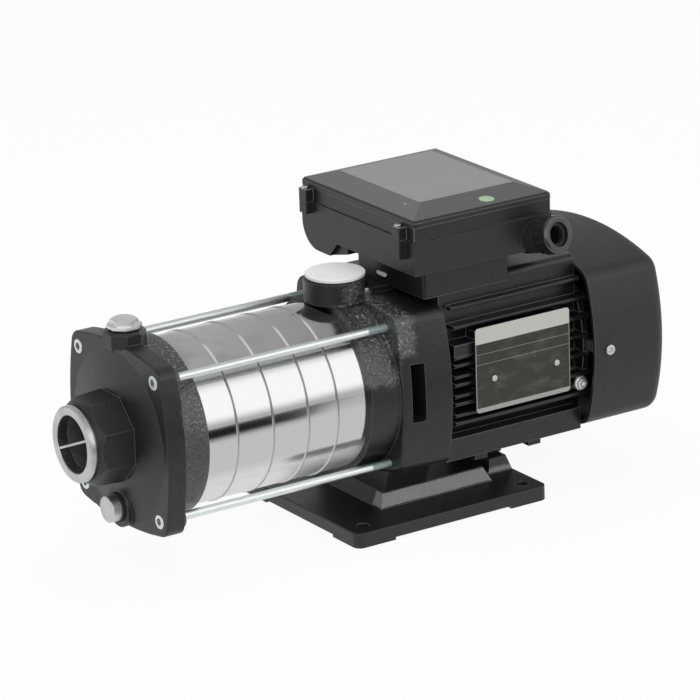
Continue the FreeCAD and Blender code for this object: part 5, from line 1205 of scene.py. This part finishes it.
@dataclass(frozen=True)
class LidMarks:
    """Plain round sticker and small indicator lens on the terminal lid."""

    sticker: LidDisc = LidDisc(
        "lid_sticker",
        Plastic(
            "sticker_green", (0.42, 0.58, 0.36), 0.38, 0.8 * MM, 0.01 * MM,
            edge_sheen_colour=(0.55, 0.68, 0.5),
        ),
        x=47.0 * MM, y=-56.5 * MM, radius=5.6 * MM, height=0.15 * MM, sink=0.03 * MM,
    )
    lens: LidDisc = LidDisc(
        "lid_lens",
        Plastic("lens_amber", (0.35, 0.33, 0.2), 0.25, 0.8 * MM, 0.01 * MM),
        x=-5.8 * MM, y=-33.1 * MM, radius=1.4 * MM, height=0.5 * MM, sink=0.1 * MM,
    )

    def build(self) -> None:
        """Build both marks."""
        self.sticker.build()
        self.lens.build()


# Studio


@dataclass(frozen=True)
class Lamp:
    """Soft rectangular lamp aimed at the pump, unseen by the metal."""

    name: str
    place: Point
    width: float
    height: float
    power: float
    aim: Point = (0.0, 0.0, 0.1)

    def build(self) -> None:
        """Hang the lamp."""
        data = bpy.data.lights.new(self.name, "AREA")
        data.shape = "RECTANGLE"
        data.size = self.width
        data.size_y = self.height
        data.energy = self.power
        lamp = bpy.data.objects.new(self.name, data)
        lamp.visible_glossy = False
        bpy.context.scene.collection.objects.link(lamp)
        lamp.location = self.place
        back = Vector(self.place) - Vector(self.aim)
        lamp.rotation_euler = back.to_track_quat("Z", "Y").to_euler()


@dataclass(frozen=True)
class Studio:
    """Pale floor, soft lamps, white surroundings and the photograph's camera.

    The mirrored values are what the metal sees of the floor and the surroundings.
    """

    azimuth: float = -32.82
    elevation: float = 18.67
    roll: float = -1.89
    distance: float = 3.20198
    target: Point = (-0.03396, 0.0, 0.11684)
    lens: float = 233.194
    sensor: float = 36.0
    clip_end: float = 100.0
    floor_reach: float = 12.0
    floor_colour: Colour = (0.9, 0.9, 0.9)
    floor_shade: float = 0.985
    floor_grain: float = 40.0 * MM
    glow_share: float = 0.93
    mirrored_floor: Colour = (0.86, 0.86, 0.86)
    mirrored_streak: Colour = (0.01, 0.01, 0.01)
    streak_start: Span = (0.27, 0.5)
    streak_end: Span = (1.5, 4.5)
    streak_slant: float = 0.6
    streak_fade: Span = (-0.15, -0.13)
    streak_rest: float = 0.85
    fill: float = 0.42
    mirrored_wall: Colour = (0.57, 0.57, 0.57)
    mirrored_softbox: Colour = (1.55, 1.55, 1.55)
    softbox_foot: Span = (-0.02, 0.2)
    softbox_head: Span = (0.64, 0.8)
    softbox_side: Span = (-0.5, -0.1)
    lamps: tuple[Lamp, ...] = (
        Lamp("overhead_lamp", (0.0, 0.2, 1.8), width=1.6, height=1.6, power=16.5),
        Lamp("near_lamp", (-0.9, -1.9, 1.3), width=1.0, height=0.7, power=16.0),
    )

    def camera(self) -> None:
        """Place the camera at the photograph's viewing angle."""
        azimuth = math.radians(self.azimuth)
        elevation = math.radians(self.elevation)
        back = Vector((
            math.sin(azimuth) * math.cos(elevation),
            -math.cos(azimuth) * math.cos(elevation),
            math.sin(elevation),
        ))
        data = bpy.data.cameras.new("photo_camera")
        data.lens = self.lens
        data.sensor_width = self.sensor
        data.clip_end = self.clip_end
        camera = bpy.data.objects.new("photo_camera", data)
        bpy.context.scene.collection.objects.link(camera)
        camera.location = Vector(self.target) + back * self.distance
        turn = back.to_track_quat("Z", "Y").to_matrix()
        roll = Matrix.Rotation(math.radians(self.roll), 3, "Z")
        camera.rotation_euler = (turn @ roll).to_euler()
        bpy.context.scene.camera = camera

    def floor_material(self) -> bpy.types.Material:
        """Make the white floor, in which metal also mirrors a dark streak on the near side.

        Returns:
            The floor's material.
        """
        material, g = new_material("floor_white")
        grain = g.noise(self.floor_grain, detail=2.0)
        tone = g.blend(grain, self.floor_colour, scaled(self.floor_colour, self.floor_shade))
        matt = g.feed(g.add("ShaderNodeBsdfDiffuse"), Color=tone)
        glow = g.feed(g.add("ShaderNodeEmission"), Color=WHITE, Strength=1.0)
        x, y, _ = g.parts()
        near = g.times(y, -1.0)
        streak = g.times(g.band(near, *self.streak_start), g.outside(near, *self.streak_end))
        along = g.minus(x, g.times(near, self.streak_slant))
        fade = g.times(g.band(along, *self.streak_fade), self.streak_rest)
        streak = g.times(streak, g.minus(1.0, fade))
        tone = g.blend(streak, self.mirrored_floor, self.mirrored_streak)
        mirrored = g.feed(g.add("ShaderNodeEmission"), Color=tone, Strength=1.0)
        seen, glossy = g.rays()
        lit = g.either(glossy, matt, mirrored)
        g.surface(g.either(g.times(seen, self.glow_share), lit, glow))
        return material

    def floor(self) -> None:
        """Lay the floor, which looks white and keeps the pump's shadow."""
        mesh = bmesh.new()
        bmesh.ops.create_grid(mesh, x_segments=1, y_segments=1, size=self.floor_reach)
        data = bpy.data.meshes.new("floor")
        mesh.to_mesh(data)
        mesh.free()
        data.materials.append(self.floor_material())
        floor = bpy.data.objects.new("floor", data)
        bpy.context.scene.collection.objects.link(floor)

    def surroundings(self) -> None:
        """Make white surroundings, in which metal mirrors grey with a near softbox."""
        world = bpy.data.worlds.new("studio")
        bpy.context.scene.world = world
        world.use_nodes = True
        g = Graph(world.node_tree)
        _, side, height = g.split(g.add("ShaderNodeTexCoord").outputs["Generated"])
        softbox = g.times(g.band(height, *self.softbox_foot), g.outside(height, *self.softbox_head))
        softbox = g.times(softbox, g.outside(side, *self.softbox_side))
        mirrored = g.blend(softbox, self.mirrored_wall, self.mirrored_softbox)
        fill, mirror, white = (
            g.feed(g.add("ShaderNodeBackground"), Color=colour, Strength=strength)
            for colour, strength in ((WHITE, self.fill), (mirrored, 1.0), (WHITE, 1.0))
        )
        seen, glossy = g.rays()
        lit = g.either(glossy, fill, mirror)
        g.surface(g.either(seen, lit, white), "ShaderNodeOutputWorld")

    def build(self) -> None:
        """Build the whole studio."""
        self.camera()
        self.floor()
        self.surroundings()
        for lamp in self.lamps:
            lamp.build()
        bpy.context.scene.view_settings.view_transform = "Standard"
        LOG.info("studio with camera at %.2f, %.2f degrees", self.azimuth, self.elevation)


def main() -> None:
    """Dress the frame, add the pieces made here and set up the studio."""
    logging.basicConfig(level=logging.INFO, format="%(message)s")
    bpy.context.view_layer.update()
    PumpFinishes().dress()
    LidMarks().build()
    Studio().build()


if __name__ == "__main__":
    main()
